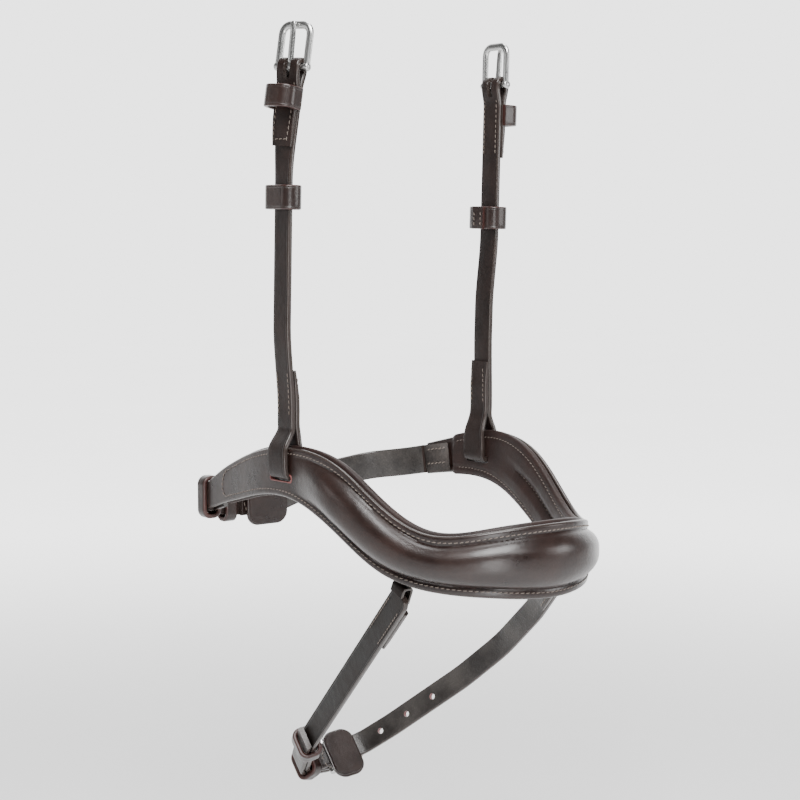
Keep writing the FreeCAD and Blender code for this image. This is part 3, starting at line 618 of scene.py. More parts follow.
def stations_to(left, right):
    """The stations up to a distance back on each side."""
    return [s for s in stations if s.point[1] < (left if s.point[0] > 0 else right)]


def dome(up, half, rise):
    """How far the roll stands out at a height, with a pressed groove where it meets the margin."""
    inner = half - FLANGE
    share = min(1.0, abs(up) / inner)
    body = rise * (1 - share**2.8)
    groove = min(0.45, 0.09 * rise) * math.exp(-(((abs(up) - inner) / 0.9) ** 2))
    return body - groove


def shell_ring(half, rise):
    """Points out and up round the shell's section, and which strips are its edges."""
    points = []
    edge = []
    radius = SHELL / 2
    high = half - radius
    for up in np.linspace(-high, high, 45):
        points.append((SHELL + dome(up, half, rise), up))
        edge.append(False)
    for a in np.linspace(0, math.pi, 9)[1:-1]:
        points.append((radius + radius * math.cos(a), high + radius * math.sin(a)))
        edge.append(True)
    for up in np.linspace(high, -high, 21):
        points.append((0.05 + max(0.0, dome(up, half, rise)), up))
        edge.append(False)
    for a in np.linspace(math.pi, 2 * math.pi, 9)[1:-1]:
        points.append((radius + radius * math.cos(a), -high + radius * math.sin(a)))
        edge.append(True)
    return points, edge


def lining_thickness(station):
    return LINING_THIN + station.rise / RISE * LINING_SWELL


def lining_ring(half, thick, where, padded_here):
    """Points out and up round the lining's soft section."""
    points = []
    edge_up = half + 0.9
    for a in circle(56):
        c, s = math.cos(a), math.sin(a)
        out = -thick / 2 + thick / 2 * math.copysign(abs(c) ** 0.55, c)
        up = edge_up * math.copysign(abs(s) ** 0.62, s)
        if c < 0:
            channel = math.exp(-((up / 1.8) ** 2))
            folds = math.sin(2 * math.pi * where / 4.2)
            pucker = 0.35 * folds * math.exp(-((abs(up) - 2.6) / 1.8) ** 2)
            seam = math.exp(-(((edge_up - abs(up)) - 4.2) / 0.9) ** 2)
            out += padded_here * (0.42 * thick * channel + 0.3 * pucker) + 0.35 * seam
        points.append((min(out, -0.02), up))
    return points


def band(name, rings, places, materials, edges=None):
    """A band from one section at each station."""
    size = len(rings[0])
    points = []
    for ring, station in zip(rings, places):
        points += [station.point + station.outward * out + UP * up for out, up in ring]
    strip = [0] * size
    if edges is not None:
        strip = [int(edges[k] and edges[(k + 1) % size]) for k in range(size)]
    indices = strip * (len(rings) - 1) + [len(materials) - 1] * 2
    return make_solid(name, points, skin(len(rings), size), materials, indices)


def slot_cutter(side, material):
    """A long rounded hole across the band at a cheek strap."""
    ring = rounded_rectangle(SLOT_LONG / 2, SLOT_HIGH / 2, SLOT_CORNER)
    ends = (side * SLOT_SIDE - 12, side * SLOT_SIDE + 12)
    points = [vec(x, y, SLOT_MIDDLE + z) for x in ends for y, z in ring]
    return make_solid("cutter", points, skin(2, len(ring)), [material], smooth=False)


def on_shell(station, up):
    """A place on the shell's outer face, and the direction outward."""
    stand = SHELL + dome(up, station.half, station.rise)
    return station.point + station.outward * stand + UP * up, station.outward


def make_nosepiece():
    rings = []
    for station in stations:
        ring, edges = shell_ring(station.half, station.rise)
        rings.append(ring)
    shell = band("nose_shell", rings, stations, [OUTER, DARK_EDGE], edges)
    cut(shell, [slot_cutter(side, EDGE) for side in SIDES.values()])
    hand_over(shell, "nosepiece", "nosepiece_shell", "nosepiece_filler")

    lined = stations_to(24.0, 61.0)
    rings = []
    for i, station in enumerate(lined):
        ends = min(1.0, min(i, len(lined) - 1 - i) / 3.0)
        half = station.half * (0.9 + 0.1 * ends)
        thick = lining_thickness(station) * (0.35 + 0.65 * math.sqrt(ends))
        rings.append(lining_ring(half, thick, station.where, station.rise / RISE))
    lining = band("nose_lining", rings, lined, [LINING])
    cut(lining, [slot_cutter(side, LINING) for side in SIDES.values()])
    hand_over(lining, "nosepiece", "nosepiece_lining", slot="lining_leather")

    inset = 3.0
    seam = stations_to(37.0, 55.0)
    rows = []
    for way in (-1, 1):
        rows.append(tuple(zip(*[on_shell(s, way * (s.half - inset)) for s in seam])))
    for station, beyond in ((seam[0], -1), (seam[-1], 1)):
        bow = []
        for turn in np.radians(np.linspace(-90, 90, 15)):
            reach = nose_curve(station.where + beyond * 5.5 * math.cos(turn))[:3]
            up = UP * (station.half - inset) * math.sin(turn)
            bow.append(reach + station.outward * (SHELL + 0.06) + up)
        rows.append((bow, station.outward))
    stitches("nose_stitches", "nosepiece", rows)
    for name, side in SIDES.items():
        rim = []
        for y, z in rounded_rectangle(SLOT_LONG / 2, SLOT_HIGH / 2, SLOT_CORNER, 7):
            beside = [s for s in stations if s.point[0] * side >= 0]
            near = min(beside, key=lambda s: abs(s.point[1] - y))
            rim.append(vec(near.point[0] + side * (SHELL - 0.12), y, SLOT_MIDDLE + z))
        across = vec(1, 0, 0)
        ring = tube(f"slot_{name}_rim", rim, 0.42, EDGE, closed=True, across=across, sides=10)
        hand_over(ring, "nosepiece")

    inside = []
    for way in (-1, 1):
        row = []
        for s in lined[4:-4]:
            depth = lining_thickness(s) - 0.45
            row.append((s.point - s.outward * depth + UP * way * (s.half - 3.2), -s.outward))
        inside.append(tuple(zip(*row)))
    middle = [s for s in lined if s.rise > 2.0]
    row = [(s.point - s.outward * lining_thickness(s) * 0.58, -s.outward) for s in middle]
    inside.append(tuple(zip(*row)))
    stitches("lining_stitches", "nosepiece", inside, 2.7, 1.8, 0.22)


# ---------------------------------------------------------------- cheek straps

CHEEK_SIDE = 66.0
HINGE = 22.4  # the height above which a strap leans
LEAN = 1.9
TURNS = {"right": (20.0, 7.5), "left": (0.0, 0.0)}  # the top's twist, and its bend inward
BEND_FROM, BEND_TO = 146.0, 180.0
BOW = {"right": 0.0, "left": 2.5}
SWAY = {"right": 3.2, "left": 1.2}
FOLD_END, FOLD_OPENS = 163.0, 191.0
BAR_HEIGHT, BAR_BESIDE, BAR_WRAP = 202.0, 2.8, 3.12
# how far out each layer's middle lies: the top fold, the strap, and its end turned up inside
FOLD_LAYER, RUN_LAYER, TURNED_LAYER = 4.23, 1.38, -1.43
FOLD_POINTS = 70  # points of the path down to where the fold is closed
TAPERED = 14  # points at each end that get thinner
BUCKLE_REACH = 21.0
STITCH_OFF = 4.7  # from a strap's middle line to its stitch rows
# each pair of stitch rows: from, to, how far out, the way it faces and its points
CHEEK_SEAMS = (
    (165.0, 196.0, 5.62, 1, 30),
    (30.0, 52.0, 2.82, 1, 30),
    (30.0, 51.0, -2.82, -1, 24),
    (165.0, 196.0, -0.02, -1, 30),
)
# each sliding keeper: its height, and its ring's inner and outer reach
SLIDERS = {"right": (138.2, -2.9, 6.2), "left": (130.7, -5.2, 5.2)}


def cheek_place(name, height, beside):
    """A place on a cheek strap: the point, and the strap's outward and upward directions."""
    side = SIDES[name]
    twist, bend = TURNS[name]
    inward = (0, -side, 0)
    up = turned(UP, (1, 0, 0), LEAN) if height > HINGE else UP
    outward = vec(side, 0, 0)
    middle = vec(side * CHEEK_SIDE, 0, HINGE) + outward * LEAF / 2
    middle = middle + up * (min(height, BEND_FROM) - HINGE)
    share = np.clip((height - BEND_FROM) / (BEND_TO - BEND_FROM), 0, 1)
    if height > BEND_FROM:
        steps = 20
        piece = (min(height, BEND_TO) - BEND_FROM) / steps
        for i in range(steps):
            angle = bend * (i + 0.5) / steps * share
            middle = middle + turned(up, inward, angle) * piece
    tip_up = turned(up, inward, bend * share)
    middle = middle + tip_up * max(0.0, height - BEND_TO)
    twisted = turned(outward, UP, twist * float(smooth_step(share)))
    tip_out = turned(twisted, inward, bend * share)
    tip_out = unit(tip_out - tip_up * (tip_out @ tip_up))
    bow = BOW[name] * float(smooth_step((height - 26) / 46) * smooth_step((122 - height) / 40))
    bow += SWAY[name] * float(smooth_step((76 - height) / 46))
    return middle + tip_out * (beside - LEAF / 2) - outward * bow, tip_out, tip_up


def cheek_path(name):
    """The strap's middle line: fold's end, round the bar, down, through the slot and up inside."""
    side = SIDES[name]
    sway = SWAY[name]

    def opening(height, layer, way):
        """A layer's place as it opens out to go round the bar."""
        reach = BAR_BESIDE + way * BAR_WRAP - layer
        return height, layer + reach * float(smooth_step((height - FOLD_OPENS) / 10.0))

    places = [(h, FOLD_LAYER) for h in np.linspace(FOLD_END, 186.0, 24)]
    places += [opening(h, FOLD_LAYER, 1) for h in np.linspace(187.0, 201.0, 15)]
    for a in np.radians(np.linspace(0, 180, 19)[1:-1]):
        places.append((BAR_HEIGHT + BAR_WRAP * math.sin(a), BAR_BESIDE + BAR_WRAP * math.cos(a)))
    places += [opening(h, RUN_LAYER, -1) for h in np.linspace(201.0, 187.0, 15)]
    places += [(h, RUN_LAYER) for h in np.linspace(186.0, 26.0, 161)]
    centres = []
    across = []

    def follow(places):
        for height, beside in places:
            point, outward, up = cheek_place(name, height, beside)
            centres.append(point)
            across.append(np.cross(outward, up))

    follow(places)
    # through the slot, as outward and up
    loop = [(1.4 - sway, 25.0), (1.7 - sway, 21.0), (2.8 - 0.2 * sway, 15.2), (3.5, 10.0)]
    loop += [(3.35, 2.2), (1.9, -0.6), (-0.4, -1.4), (-2.6, -1.7), (-4.9, -1.2), (-6.1, 1.4)]
    loop += [(-6.1, 10.0), (-5.6, 15.0), (-2.7 - 0.8 * sway, 20.5), (-1.4 - sway, 25.0)]
    knots = np.arange(len(loop), dtype=float)
    bend = spline(knots, loop)
    for where in np.linspace(0, knots[-1], 80)[1:-1]:
        x, z = bend(where)
        centres.append(vec(side * (CHEEK_SIDE + x), 0, z))
        across.append(vec(0, -side, 0))
    follow([(h, TURNED_LAYER) for h in np.linspace(26.0, 52.5, 28)])
    across = [unit(a) for a in across]
    across = [a if a @ across[0] > 0 else -a for a in across]
    return np.array(centres), np.array(across)


def bar_frame(name):
    """A cheek buckle's bar: its middle, and the outward, upward and sideways directions."""
    middle, outward, up = cheek_place(name, BAR_HEIGHT, BAR_BESIDE)
    return middle, outward, up, np.cross(outward, up)


def wire_frame(name, place, half, reach, corner):
    """A D-shaped buckle from flattened wire, with a bar and rounded bosses at the bar's ends."""
    wide, flat = 2.0, 0.72
    middle, outward, run, across = place
    half = half - (wide - WIRE)
    reach = reach - (wide - WIRE)
    outline = [(0.0, -half), (reach, -half), (reach, half), (0.0, half)]
    outline = rounded_path(outline, [corner] * 2, 0.6)
    path = softened(laid(outline, middle, run, across), 3) - run * 0.15
    ring = tube(name + "_ring", path, wide, STEEL, across=outward, sides=28)
    points = np.array([v.co[:] for v in ring.data.vertices]) / MM
    depth = (points - middle) @ outward
    points -= np.outer(depth * (1 - flat), outward)
    ring.data.vertices.foreach_set("co", (points * MM).ravel())
    bar = [middle + across * s for s in np.linspace(-half, half, 9)]
    rod = tube(name + "_bar", bar, WIRE - 0.02, STEEL, across=outward)
    bosses = []
    for end in (-1, 1):
        steps = np.linspace(-1, 1, 15)
        centres = [middle + across * (end * (half + 0.1) + 2.0 * s) for s in steps]
        sizes = [2.2 * math.sqrt(max(0.05, 1 - abs(s) ** 5)) for s in steps]
        bosses.append(tube(f"{name}_boss", centres, sizes, STEEL, across=outward, sides=28))
    return joined(name, [ring, rod] + bosses)


def wire_tongue(name, place, reach):
    """A tongue that loops the bar and rests on the buckle's end."""
    middle, outward, run, across = place
    eye_radius = 2.3
    turns = [(eye_radius * math.cos(a), eye_radius * math.sin(a)) for a in circle(32)]
    ring = laid(turns, middle, outward, run)
    eye = sweep(name + "_eye", ring, across, 1.25, 0.62, WIRE_FINISH, 0.5, closed=True)
    line = [(1.7, 1.6), (1.9, 3.5), (2.2, 7.0), (2.6, reach - 6)]
    line += [(3.0, reach - 3), (3.05, reach - 0.6), (2.8, reach + 0.9)]
    knots = np.arange(len(line), dtype=float)
    curve = spline(knots, line)
    path = []
    wide = []
    thick = []
    for where in np.linspace(0, knots[-1], 40):
        a, b = curve(where)
        path.append(middle + outward * a + run * b)
        share = where / knots[-1]
        tip = math.sqrt(max(0.03, 1 - max(0.0, (share - 0.86) / 0.14) ** 2))
        wide.append((1.62 - 0.3 * share) * tip)
        thick.append((1.05 - 0.1 * share) * tip)
    blade = sweep(name + "_blade", path, across, wide, thick, WIRE_FINISH, 0.9)
    return joined(name, [eye, blade])


def ring_path(low, high, half, corner, place):
    """A closed rounded path round a strap, in its outward and sideways directions."""
    middle, outward, across = place
    points = [(low, 0), (low, -half), (high, -half), (high, half), (low, half), (low, 0)]
    return laid(rounded_path(points, [corner] * 4, 0.6)[:-1], middle, outward, across)


def tongue_slot(name):
    """The hole through the fold that the tongue turns in."""
    middle, outward, run, sideways = bar_frame(name)
    shape = ((-6.4, -1.85), (7.0, -2.05), (7.0, 2.05), (-6.4, 1.85))
    ends = [laid(shape, middle + outward * u, run, sideways) for u in (-9.0, 9.0)]
    return make_solid("cutter", np.concatenate(ends), skin(2, 4), [DARK_EDGE], smooth=False)


def make_cheek_strap(name):
    side = SIDES[name]
    centres, across = cheek_path(name)
    centres = softened(centres, 2)
    count = len(centres)
    thick = np.full(count, LEAF / 2)
    for i in range(TAPERED):
        share = 0.45 + 0.55 * i / TAPERED
        thick[i] *= share
        thick[-1 - i] *= share
        # each thinner end stays against the strap
        loss = 0.8 * (LEAF / 2 - thick[i])
        centres[i] = centres[i] - loss * cheek_place(name, 165.0, 0)[1]
        centres[-1 - i] = centres[-1 - i] + loss * vec(side, 0, 0)
    wide = np.full(count, STRAP / 2)
    lower = slice(90, count)
    wide[lower] += 1.5 * smooth_step((24.0 - centres[lower, 2]) / 18.0)
    leaves = []
    for part in (slice(0, FOLD_POINTS + 1), slice(FOLD_POINTS, count)):
        shape = centres[part], across[part], wide[part], thick[part]
        leaves.append(sweep("leaf", *shape, STRAP_FINISH))
    cut(leaves[0], [tongue_slot(name)])
    strap = joined(f"cheek_{name}_strap", leaves)
    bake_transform(strap)
    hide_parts(f"cheek_loop_{name}", f"cheek_strap_{name}", f"cheek_fold_{name}")


def make_cheek(name):
    make_cheek_strap(name)
    rows = []
    for offset in (-STITCH_OFF, STITCH_OFF):
        for low, high, beside, way, count in CHEEK_SEAMS:
            line = [cheek_place(name, h, beside) for h in np.linspace(low, high, count)]
            row = [(p + np.cross(out, up) * offset, way * out) for p, out, up in line]
            rows.append(tuple(zip(*row)))
    point, out, up = cheek_place(name, 166.2, 5.4)
    sideways = np.cross(out, up)
    rows.append(([point + sideways * s for s in np.linspace(-4.2, 4.2, 8)], out))
    stitches(f"cheek_{name}_stitches", f"cheek_{name}", rows)

    bar = bar_frame(name)
    buckle = wire_frame(f"cheek_{name}_buckle", bar, 8.9, BUCKLE_REACH, 4.4)
    hand_over(buckle, f"buckle_{name}", f"cheek_buckle_{name}", slot="steel")
    tongue = wire_tongue(f"cheek_{name}_tongue", bar, BUCKLE_REACH)
    hand_over(tongue, f"tongue_{name}", f"cheek_tongue_{name}", slot="steel")

    point, out, up = cheek_place(name, 186.0, 0.0)
    sideways = np.cross(out, up)
    outline = [(3.1, -7.6), (13.5, -7.6), (13.5, 7.6), (3.1, 7.6)]
    path = laid(rounded_path(outline, [5.0, 5.0], 0.6), point, out, sideways)
    keeper = sweep(f"cheek_{name}_fixed_keeper", path, up, 5.5, 1.1, KEEPER_FINISH)
    hand_over(keeper, f"cheek_{name}", f"cheek_fixed_keeper_{name}")

    height, low, high = SLIDERS[name]
    point, out, up = cheek_place(name, height, 0.0)
    sideways = np.cross(out, up)
    path = ring_path(low, high, 10.2, 4.2, (point, out, sideways))
    loop = sweep("loop", path, up, 6.0, 1.15, KEEPER_FINISH, closed=True)
    flat = [point + out * (low - 1.7) + sideways * s for s in np.linspace(-4.6, 4.6, 12)]
    joint = sweep("joint", flat, up, 6.1, 0.8, BAND_FINISH)
    rows = []
    for s in (-2.6, 2.6):
        start = point + out * (low - 2.4) + sideways * s
        rows.append(([start + up * h for h in np.linspace(-4.6, 4.6, 12)], -out))
    stitches(f"cheek_{name}_keeper_stitches", f"keeper_{name}", rows, 2.6, 1.9)
    whole = joined(f"cheek_{name}_keeper", [loop, joint])
    hand_over(whole, f"keeper_{name}", f"cheek_sliding_keeper_{name}")


# ---------------------------------------------------------------- jaw and chin straps

# the chin strap lies in a plane through this origin, tilted back
CHIN_ORIGIN = vec(0, -84, -46)
CHIN_TILT = math.radians(42.0)
CHIN_ACROSS = vec(1, 0, 0)
CHIN_BACK = vec(0, math.cos(CHIN_TILT), -math.sin(CHIN_TILT))
CHIN_UP = vec(0, math.sin(CHIN_TILT), math.cos(CHIN_TILT))
CHIN_HINGE = CHIN_ORIGIN + CHIN_BACK * 13.0
BESIDE = LEAF + 0.25  # between the middles of two leaves that lie together
CLOSURE_REACH = 15.5
TOP_REACH = 6.2  # how far a chin strap's rounded top goes beyond its last point
HANGER_SLOPE = 24.0
BAND_HALF = 3.5  # half a closure keeper's width


def ahead(start, angle, along, beside):
    """A point given along a heading and to the left of it."""
    c, s = math.cos(math.radians(angle)), math.sin(math.radians(angle))
    return (start[0] + c * along - s * beside, start[1] + s * along + c * beside)


def crossing(first, first_angle, second, second_angle):
    """The point where two lines cross."""
    a = (math.cos(first_angle), math.sin(first_angle))
    b = (math.cos(second_angle), math.sin(second_angle))
    gap = (second[0] - first[0], second[1] - first[1])
    along = (gap[0] * b[1] - gap[1] * b[0]) / (a[0] * b[1] - a[1] * b[0])
    return (first[0] + a[0] * along, first[1] + a[1] * along)


def round_the_bar(bar, angle, lift, tail, slope):
    """The long strap's corners outside the folded end, round the bar and under the buckle."""
    centre = ahead(bar, angle, 0, -LEAF / 2)
    radius = WIRE + 0.08 + 1.5 * LEAF + 0.3
    beside = ahead(bar, angle, -0.75 * tail, BESIDE)
    inside = (WIRE + LEAF / 2 + 0.3) / math.cos(math.radians(slope))
    under = ahead(centre, angle + lift, CLOSURE_REACH, -inside)
    headings = []
    for point, side in ((beside, 1), (under, -1)):
        toward = math.atan2(centre[1] - point[1], centre[0] - point[0])
        headings.append(toward + side * math.asin(radius / math.dist(point, centre)))
    return [beside, crossing(beside, headings[0], under, headings[1]), under], radius


def fold_path(middle, outward, run, tail):
    """The middle line of a strap end folded round a bar, from its outer end to its inner end."""
    outline = [(LEAF / 2, -tail), (LEAF / 2, -0.65 * tail)]
    for a in np.radians(np.linspace(0, 180, 13)):
        outline.append((3.1 * math.cos(a), 3.1 * math.sin(a)))
    outline += [(-LEAF / 2, -0.65 * tail), (-LEAF / 2, -tail)]
    return softened(resampled(laid(outline, middle, outward, run), 0.7), 2)


def directions(to_world, place, angle):
    """A place in the world, and the directions ahead of it and outward there."""
    middle = to_world(*place)
    run = unit(to_world(*ahead(place, angle, 1, 0)) - middle)
    outward = unit(to_world(*ahead(place, angle, 0, 1)) - middle)
    return middle, run, outward


def closure(prefix, body, to_world, up, bar, angle, lift, width, half, tail):
    """The folded end, the buckle and the tongue of a closure."""
    centre = ahead(bar, angle, 0, -LEAF / 2)
    middle, run, outward = directions(to_world, centre, angle)
    path = fold_path(middle, outward, run, tail)
    fold = sweep(f"{prefix}_folded_end", path, up, width / 2, LEAF / 2, STRAP_FINISH)
    hand_over(fold, body, f"{prefix}_fold")
    middle, run, outward = directions(to_world, centre, angle + lift)
    place = (middle, outward, run, np.cross(outward, run))
    buckle = wire_frame(f"{prefix}_wire_buckle", place, half, CLOSURE_REACH, 4.0)
    tongue = wire_tongue(f"{prefix}_wire_tongue", place, CLOSURE_REACH)
    hand_over(buckle, body, f"{prefix}_buckle", slot="steel")
    hand_over(tongue, body, f"{prefix}_tongue", slot="steel")


def keeper_band(name, node, body, end, outward, run, low, high, half):
    """A closed band round a strap, back from its end; low, high and half are its inner sides."""
    across = np.cross(outward, run)
    middle = end - run * BAND_HALF
    path = ring_path(low - 1.1, high + 1.1, half + 1.1, 3.6, (middle, outward, across))
    obj = sweep(name, path, run, BAND_HALF, 1.25, BAND_FINISH, 0.95, closed=True)
    hand_over(obj, body, node)


def guard_row(node, normal, run, inset=2.2, off=0.02):
    """A stitched row round a guard pad's outer face, from the CAD pad's own outline."""
    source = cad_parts[node]
    corners = np.array([source.matrix_world @ v.co for v in source.data.vertices]) / MM
    middle = (corners.min(0) + corners.max(0)) / 2
    side = unit(np.cross(normal, run))
    depth = ((corners - middle) @ normal).max()
    flat = np.stack([(corners - middle) @ run, (corners - middle) @ side], 1)
    angle = np.arctan2(flat[:, 1], flat[:, 0])
    radius = np.linalg.norm(flat, axis=1)
    row = []
    for a in np.linspace(-math.pi, math.pi, 73):
        near = np.abs((angle - a + math.pi) % (2 * math.pi) - math.pi) < 0.16
        r = radius[near].max() if near.any() else radius.max()
        row.append((r - inset) * np.array([math.cos(a), math.sin(a)]))
    row = softened(np.array(row), 6)
    return [middle + run * a + side * b + normal * (depth + off) for a, b in row]


def make_jaw():
    bar, angle, lift, tail = (-30.0, 88.5), 0.0, 12.0, 8.0
    z_bar = -26.5
    half = JAW_STRAP / 2
    start = (-59.6, 68.0, -17.5)
    tab = [start, (start[0], bar[1], -23.5), (bar[0] - tail + 1.0, bar[1], z_bar)]
    path = softened(rounded_path(tab, [5.0], 0.8), 2)
    obj = sweep("jaw_inner_end", path, UP, half, LEAF / 2, STRAP_FINISH)
    hand_over(obj, "nosepiece", "jaw_tab")

    round_bar, radius = round_the_bar(bar, angle, lift, tail, 51.0)
    run = [(start[0] - BESIDE, 77.7, -20.4), (start[0] - BESIDE, bar[1] + BESIDE, -23.5)]
    run += [(x, y, z_bar) for x, y in round_bar]
    run += [(20.0, 86.0, -16.5), (47.0, 80.2, -12.0), (61.0, 62.9, -9.3), (61.4, 45.6, -6.1)]
    radii = [5.0 + BESIDE, 8.0, radius, 14.0, 60.0, 26.0, 26.0]
    path = softened(rounded_path(run, radii, 0.8), 3)
    obj = sweep("jaw_long_strap", path, UP, half, LEAF / 2, ROUGH_FINISH)
    hand_over(obj, "nosepiece", "jaw_strap")

    def to_world(x, y):
        return vec(x, y, z_bar)

    closure("jaw", "nosepiece", to_world, UP, bar, angle, lift, JAW_STRAP, 10.4, tail)
    low, high = -LEAF / 2 - 0.7, BESIDE + LEAF / 2 + 0.4
    places = (((-59.6, 84.4, -21.2), 90.0), ((-41.0, 88.5, -25.7), 0.0))
    for count, (place, heading) in enumerate(places, 1):
        turn = math.radians(heading)
        run = vec(math.cos(turn), math.sin(turn), 0)
        outward = vec(-run[1], run[0], 0)
        names = (f"jaw_band_{count}", f"jaw_keeper_{count}", "nosepiece")
        keeper_band(*names, np.array(place), outward, run, low, high, half + 1.4)
    guard = copy_of("jaw_guard", "jaw_guard_pad", OUTER, 1.1)
    hand_over(guard, "nosepiece", "jaw_guard")
    back = vec(0, 1, 0)
    row = guard_row("jaw_guard", back, vec(1, 0, 0))
    stitches("jaw_guard_stitches", "nosepiece", [(row, back)])

    patch = copy_of("jaw_patch", "jaw_sewn_end", FLESH, 0.5)
    hand_over(patch, "nosepiece", "jaw_patch", slot="flesh_leather")
    rows = []
    for z in (-7.6, 0.6):
        places = [(61.3 + 0.02 * (y - 25), y, z - 0.16 * (y - 35)) for y in np.linspace(27, 44, 12)]
        rows.append((places, vec(-1, 0, 0)))
    stitches("jaw_patch_stitches", "nosepiece", rows, 3.4, 2.4, 0.3, 16.0)


def on_chin_plane(x, t):
    return CHIN_ORIGIN + CHIN_ACROSS * x + CHIN_BACK * t


def beyond(a, b, distance):
    """A place past a, on the line from b."""
    gap = math.dist(a, b)
    return (a[0] + (a[0] - b[0]) * distance / gap, a[1] + (a[1] - b[1]) * distance / gap)


def topped(path, top_at_end):
    """Half widths along a chin strap whose top is rounded about its hinge."""
    lengths = run_lengths(path)
    from_top = lengths[-1] - lengths if top_at_end else lengths
    share = np.clip((TOP_REACH - from_top - 1.5) / 6.2, 0, 1)
    return STRAP / 2 * np.sqrt(1 - share**2)


def turnback(start, toward, side, length, finish):
    """The strap's end turned back and sewn down on its inner face: with its line and outward."""
    top = on_chin_plane(*start)
    down = unit(on_chin_plane(*toward) - top)
    outside = unit(np.cross(down, CHIN_UP))
    outside = outside if outside[0] * side > 0 else -outside
    steps = np.arange(1.0, length + 0.1, 1.0)
    centres = [top + down * d - outside * (LEAF - 0.1) for d in steps]
    thick = np.full(len(centres), LEAF / 2)
    thick[-8:] *= np.linspace(1, 0.5, 8)
    return sweep("turnback", centres, CHIN_UP, STRAP / 2, thick, finish), centres, outside


def chin_holes(far):
    """Cutters for the holes along the long strap."""
    holes = []
    first_leg = math.dist(far[0], far[1])
    for count in range(3):
        at = 14.5 + 19.0 * count
        start, end = (far[0], far[1]) if at < first_leg else (far[1], far[2])
        heading = math.degrees(math.atan2(end[1] - start[1], end[0] - start[0]))
        centre = ahead(start, heading, at if at < first_leg else at - first_leg, 0)
        travel = unit(on_chin_plane(*end) - on_chin_plane(*start))
        reach = 6 * unit(np.cross(travel, CHIN_UP))
        middle = on_chin_plane(*centre)
        line = [middle - reach, middle + reach]
        holes.append(tube("cutter", line, 1.7, EDGE, across=CHIN_UP, sides=24))
    return holes


def make_chin():
    bar, angle, lift, tail = (0.0, 189.8), -12.0, 6.0, 7.0
    top, bend, leg = (-50.0, 15.0), (-29.0, 156.0), 70.0
    far = [(19.0, 181.0), (31.0, 163.0), (54.0, 116.0), (62.0, 84.0), (61.0, 47.0), (53.8, 15.0)]
    angles = (math.radians(leg), math.radians(angle))
    past = TOP_REACH + 2.0

    corner = crossing(bend, angles[0], bar, angles[1])
    flat = [beyond(top, bend, past), bend, corner, ahead(bar, angle, -tail + 1.0, 0)]
    path = softened(rounded_path(flat, [40.0, 10.5], 0.8), 2)
    path = laid(path, CHIN_ORIGIN, CHIN_ACROSS, CHIN_BACK)
    strap = sweep("strap", path, CHIN_UP, topped(path, False), LEAF / 2, CHIN_SHADED_FINISH)
    back, near_run, near_out = turnback(top, bend, -1, 34.0, CHIN_SHADED_FINISH)
    hand_over(joined("chin_short_piece", [strap, back]), "chin", "chin_short_strap")

    outer_leg = ahead(bend, leg, -3.0, BESIDE)
    outer_corner = crossing(outer_leg, angles[0], ahead(bar, angle, 0, BESIDE), angles[1])
    round_bar, radius = round_the_bar(bar, angle, lift, tail, 44.0)
    flat = [outer_leg, outer_corner] + round_bar + far[:-1] + [beyond(far[-1], far[-2], past)]
    radii = [10.5 + BESIDE, 8.0, radius, 6.0, 14.0, 60.0, 60.0, 60.0, 60.0]
    path = laid(softened(rounded_path(flat, radii, 0.8), 3), CHIN_ORIGIN, CHIN_ACROSS, CHIN_BACK)
    strap = sweep("strap", path, CHIN_UP, topped(path, True), LEAF / 2, ROUGH_FINISH)
    cut(strap, chin_holes(far))
    back, far_run, far_out = turnback(far[-1], far[-2], 1, 22.0, ROUGH_FINISH)
    hand_over(joined("chin_long_piece", [strap, back]), "chin", "chin_long_strap")

    closure("chin", "chin", on_chin_plane, CHIN_UP, bar, angle, lift, STRAP, 8.9, tail)
    low, high = -LEAF / 2 - 2.2, BESIDE + LEAF / 2 + 0.6
    places = (((-25.2, 166.4), 70.0), ((-10.2, 191.6), 25.0))
    for count, (place, heading) in enumerate(places, 1):
        end, run, outward = directions(on_chin_plane, place, heading)
        names = (f"chin_band_{count}", f"chin_keeper_{count}", "chin")
        keeper_band(*names, end, outward, run, low, high, STRAP / 2 + 0.25)
    guard = copy_of("chin_guard", "chin_guard_pad", OUTER, 1.1)
    hand_over(guard, "chin", "chin_guard")
    _, run, outward = directions(on_chin_plane, bar, angle)
    rows = [(guard_row("chin_guard", outward, run), outward)]
    for line, away in ((near_run, near_out), (far_run, far_out)):
        for offset in (-STITCH_OFF, STITCH_OFF):
            for way, stand in ((1, LEAF * 1.5 - 0.1 + 0.02), (-1, -LEAF / 2 - 0.02)):
                row = [p + away * stand + CHIN_UP * offset for p in line[:-2]]
                rows.append((row, away * way))
    stitches("chin_stitches", "chin", rows)

    rise = turned(UP, (1, 0, 0), HANGER_SLOPE)
    along = turned((0, 1, 0), (1, 0, 0), HANGER_SLOPE)
    yoke = rounded_path([(2.4, 4.6), (2.4, 9.6), (-2.5, 9.6), (-2.5, 1.0)], [1.6, 1.6], 0.4)
    for name, side in SIDES.items():
        low, high = (np.array(c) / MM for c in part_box(f"chin_loop_{name}"))
        middle = vec((low[0] + high[0]) / 2, CHIN_HINGE[1], CHIN_HINGE[2])
        path = laid(yoke, middle, side * CHIN_ACROSS, rise)
        loop = sweep(f"chin_hanger_{name}", path, along, 4.6, 0.75, CHIN_SHADED_FINISH)
        hand_over(loop, "nosepiece", f"chin_loop_{name}")


# ---------------------------------------------------------------- stage, light and camera

# the floor lies this far under the object, in metres, so that the chin strap can swing down
FLOOR_DROP = 0.06
# the light of the room: dim in front of the object and bright behind it; the floor's painted glow
# rises the same way
WORLD_DIM, WORLD_BRIGHT = 0.12, 3.0
FLOOR_GLOW_DIM, FLOOR_GLOW_BRIGHT = 0.14, 2.35
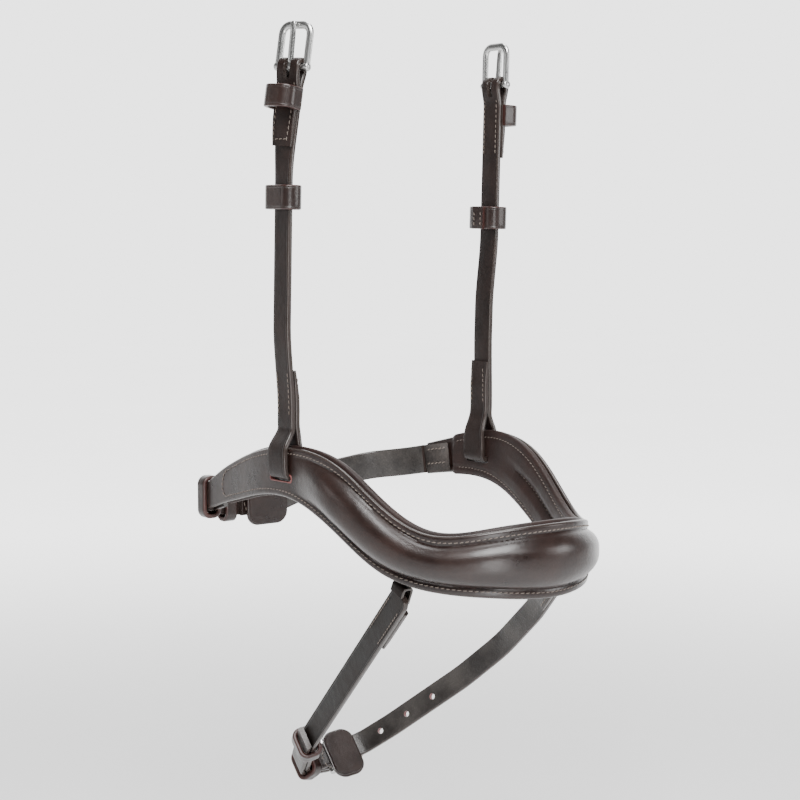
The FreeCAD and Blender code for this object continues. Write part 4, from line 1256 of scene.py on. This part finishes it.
# each lamp: its place, size and power, in metres and watts
LAMPS = {
    "key": ((-0.48, -0.66, 1.05), 0.75, 34.0),
    "front": ((-0.2, -1.25, 0.75), 0.35, 3.0),
    "low": ((-0.62, -1.02, -0.08), 0.4, 4.5),
    "top": ((0.2, 0.15, 1.25), 0.6, 10.0),
    "side": ((0.85, -1.05, 0.3), 0.45, 5.0),
    "back": ((-1.15, 0.62, 0.32), 0.45, 1.2),
}


def backdrop(tree, direction, dim, bright):
    """Dim in the front half of the room, rising smoothly to a bright backdrop behind the object."""
    inputs = {0: direction, 1: (0.61, 0.79, 0.0)}
    facing = add(tree, "VectorMath", inputs, operation="DOT_PRODUCT")["Value"]
    return ramp(tree, facing, 0.3, 0.93, dim, bright, interpolation_type="SMOOTHSTEP")


def make_stage():
    low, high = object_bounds()
    bpy.ops.mesh.primitive_plane_add(size=12, location=(0, 0, low[2] - FLOOR_DROP))
    floor = bpy.context.object
    floor.name = "floor"
    made = plain("floor", (0.86, 0.86, 0.86), (0.88, 0.88, 0.88), 0.7, 3.0, 0.0)
    tree = made.node_tree
    # a painted glow on the floor: none by the object, rising away from it and most towards the
    # backdrop
    place = add(tree, "TexCoord")["Object"]
    away = add(tree, "VectorMath", {0: place}, operation="LENGTH")["Value"]
    distant = ramp(tree, away, 0.25, 1.4, 0.0, 1.0, interpolation_type="SMOOTHSTEP")
    heading = add(tree, "VectorMath", {0: place}, operation="NORMALIZE")["Vector"]
    strength = backdrop(tree, heading, FLOOR_GLOW_DIM, FLOOR_GLOW_BRIGHT)
    painted_floor_glow = add(tree, "Math", {0: distant, 1: strength}, operation="MULTIPLY")["Value"]
    inputs = {"Emission Color": (1.0, 1.0, 1.0, 1.0), "Emission Strength": painted_floor_glow}
    set_inputs(tree, tree.nodes["Principled BSDF"], inputs)
    floor.data.materials.append(made)

    world = bpy.data.worlds.new("world")
    bpy.context.scene.world = world
    world.use_nodes = True
    tree = world.node_tree
    direction = add(tree, "TexCoord")["Generated"]
    strength = backdrop(tree, direction, WORLD_DIM, WORLD_BRIGHT)
    inputs = {"Color": (1.0, 1.0, 1.0, 1.0), "Strength": strength}
    set_inputs(tree, tree.nodes["Background"], inputs)
    for name, (place, size, power) in LAMPS.items():
        lamp = bpy.data.lights.new(name, "AREA")
        lamp.size = size
        lamp.energy = power
        obj = new_object(name, lamp)
        obj.location = place
        facing = Vector((0, -0.03, 0)) - Vector(place)
        obj.rotation_euler = facing.to_track_quat("-Z", "Y").to_euler()


def make_camera():
    lens = bpy.data.cameras.new("camera")
    lens.lens = 71.1
    lens.sensor_width = 36.0
    lens.clip_end = 30
    obj = new_object("camera", lens)
    obj.location = (-0.5026, -0.6609, 0.1031)
    azimuth, down = math.radians(-37.7), math.radians(4.76)
    ahead_x, ahead_y = -math.sin(azimuth) * math.cos(down), math.cos(azimuth) * math.cos(down)
    look = Vector((ahead_x, ahead_y, -math.sin(down)))
    obj.rotation_euler = look.to_track_quat("-Z", "Y").to_euler()
    bpy.context.scene.camera = obj


make_nosepiece()
for name in SIDES:
    make_cheek(name)
make_jaw()
make_chin()
make_stage()
make_camera()
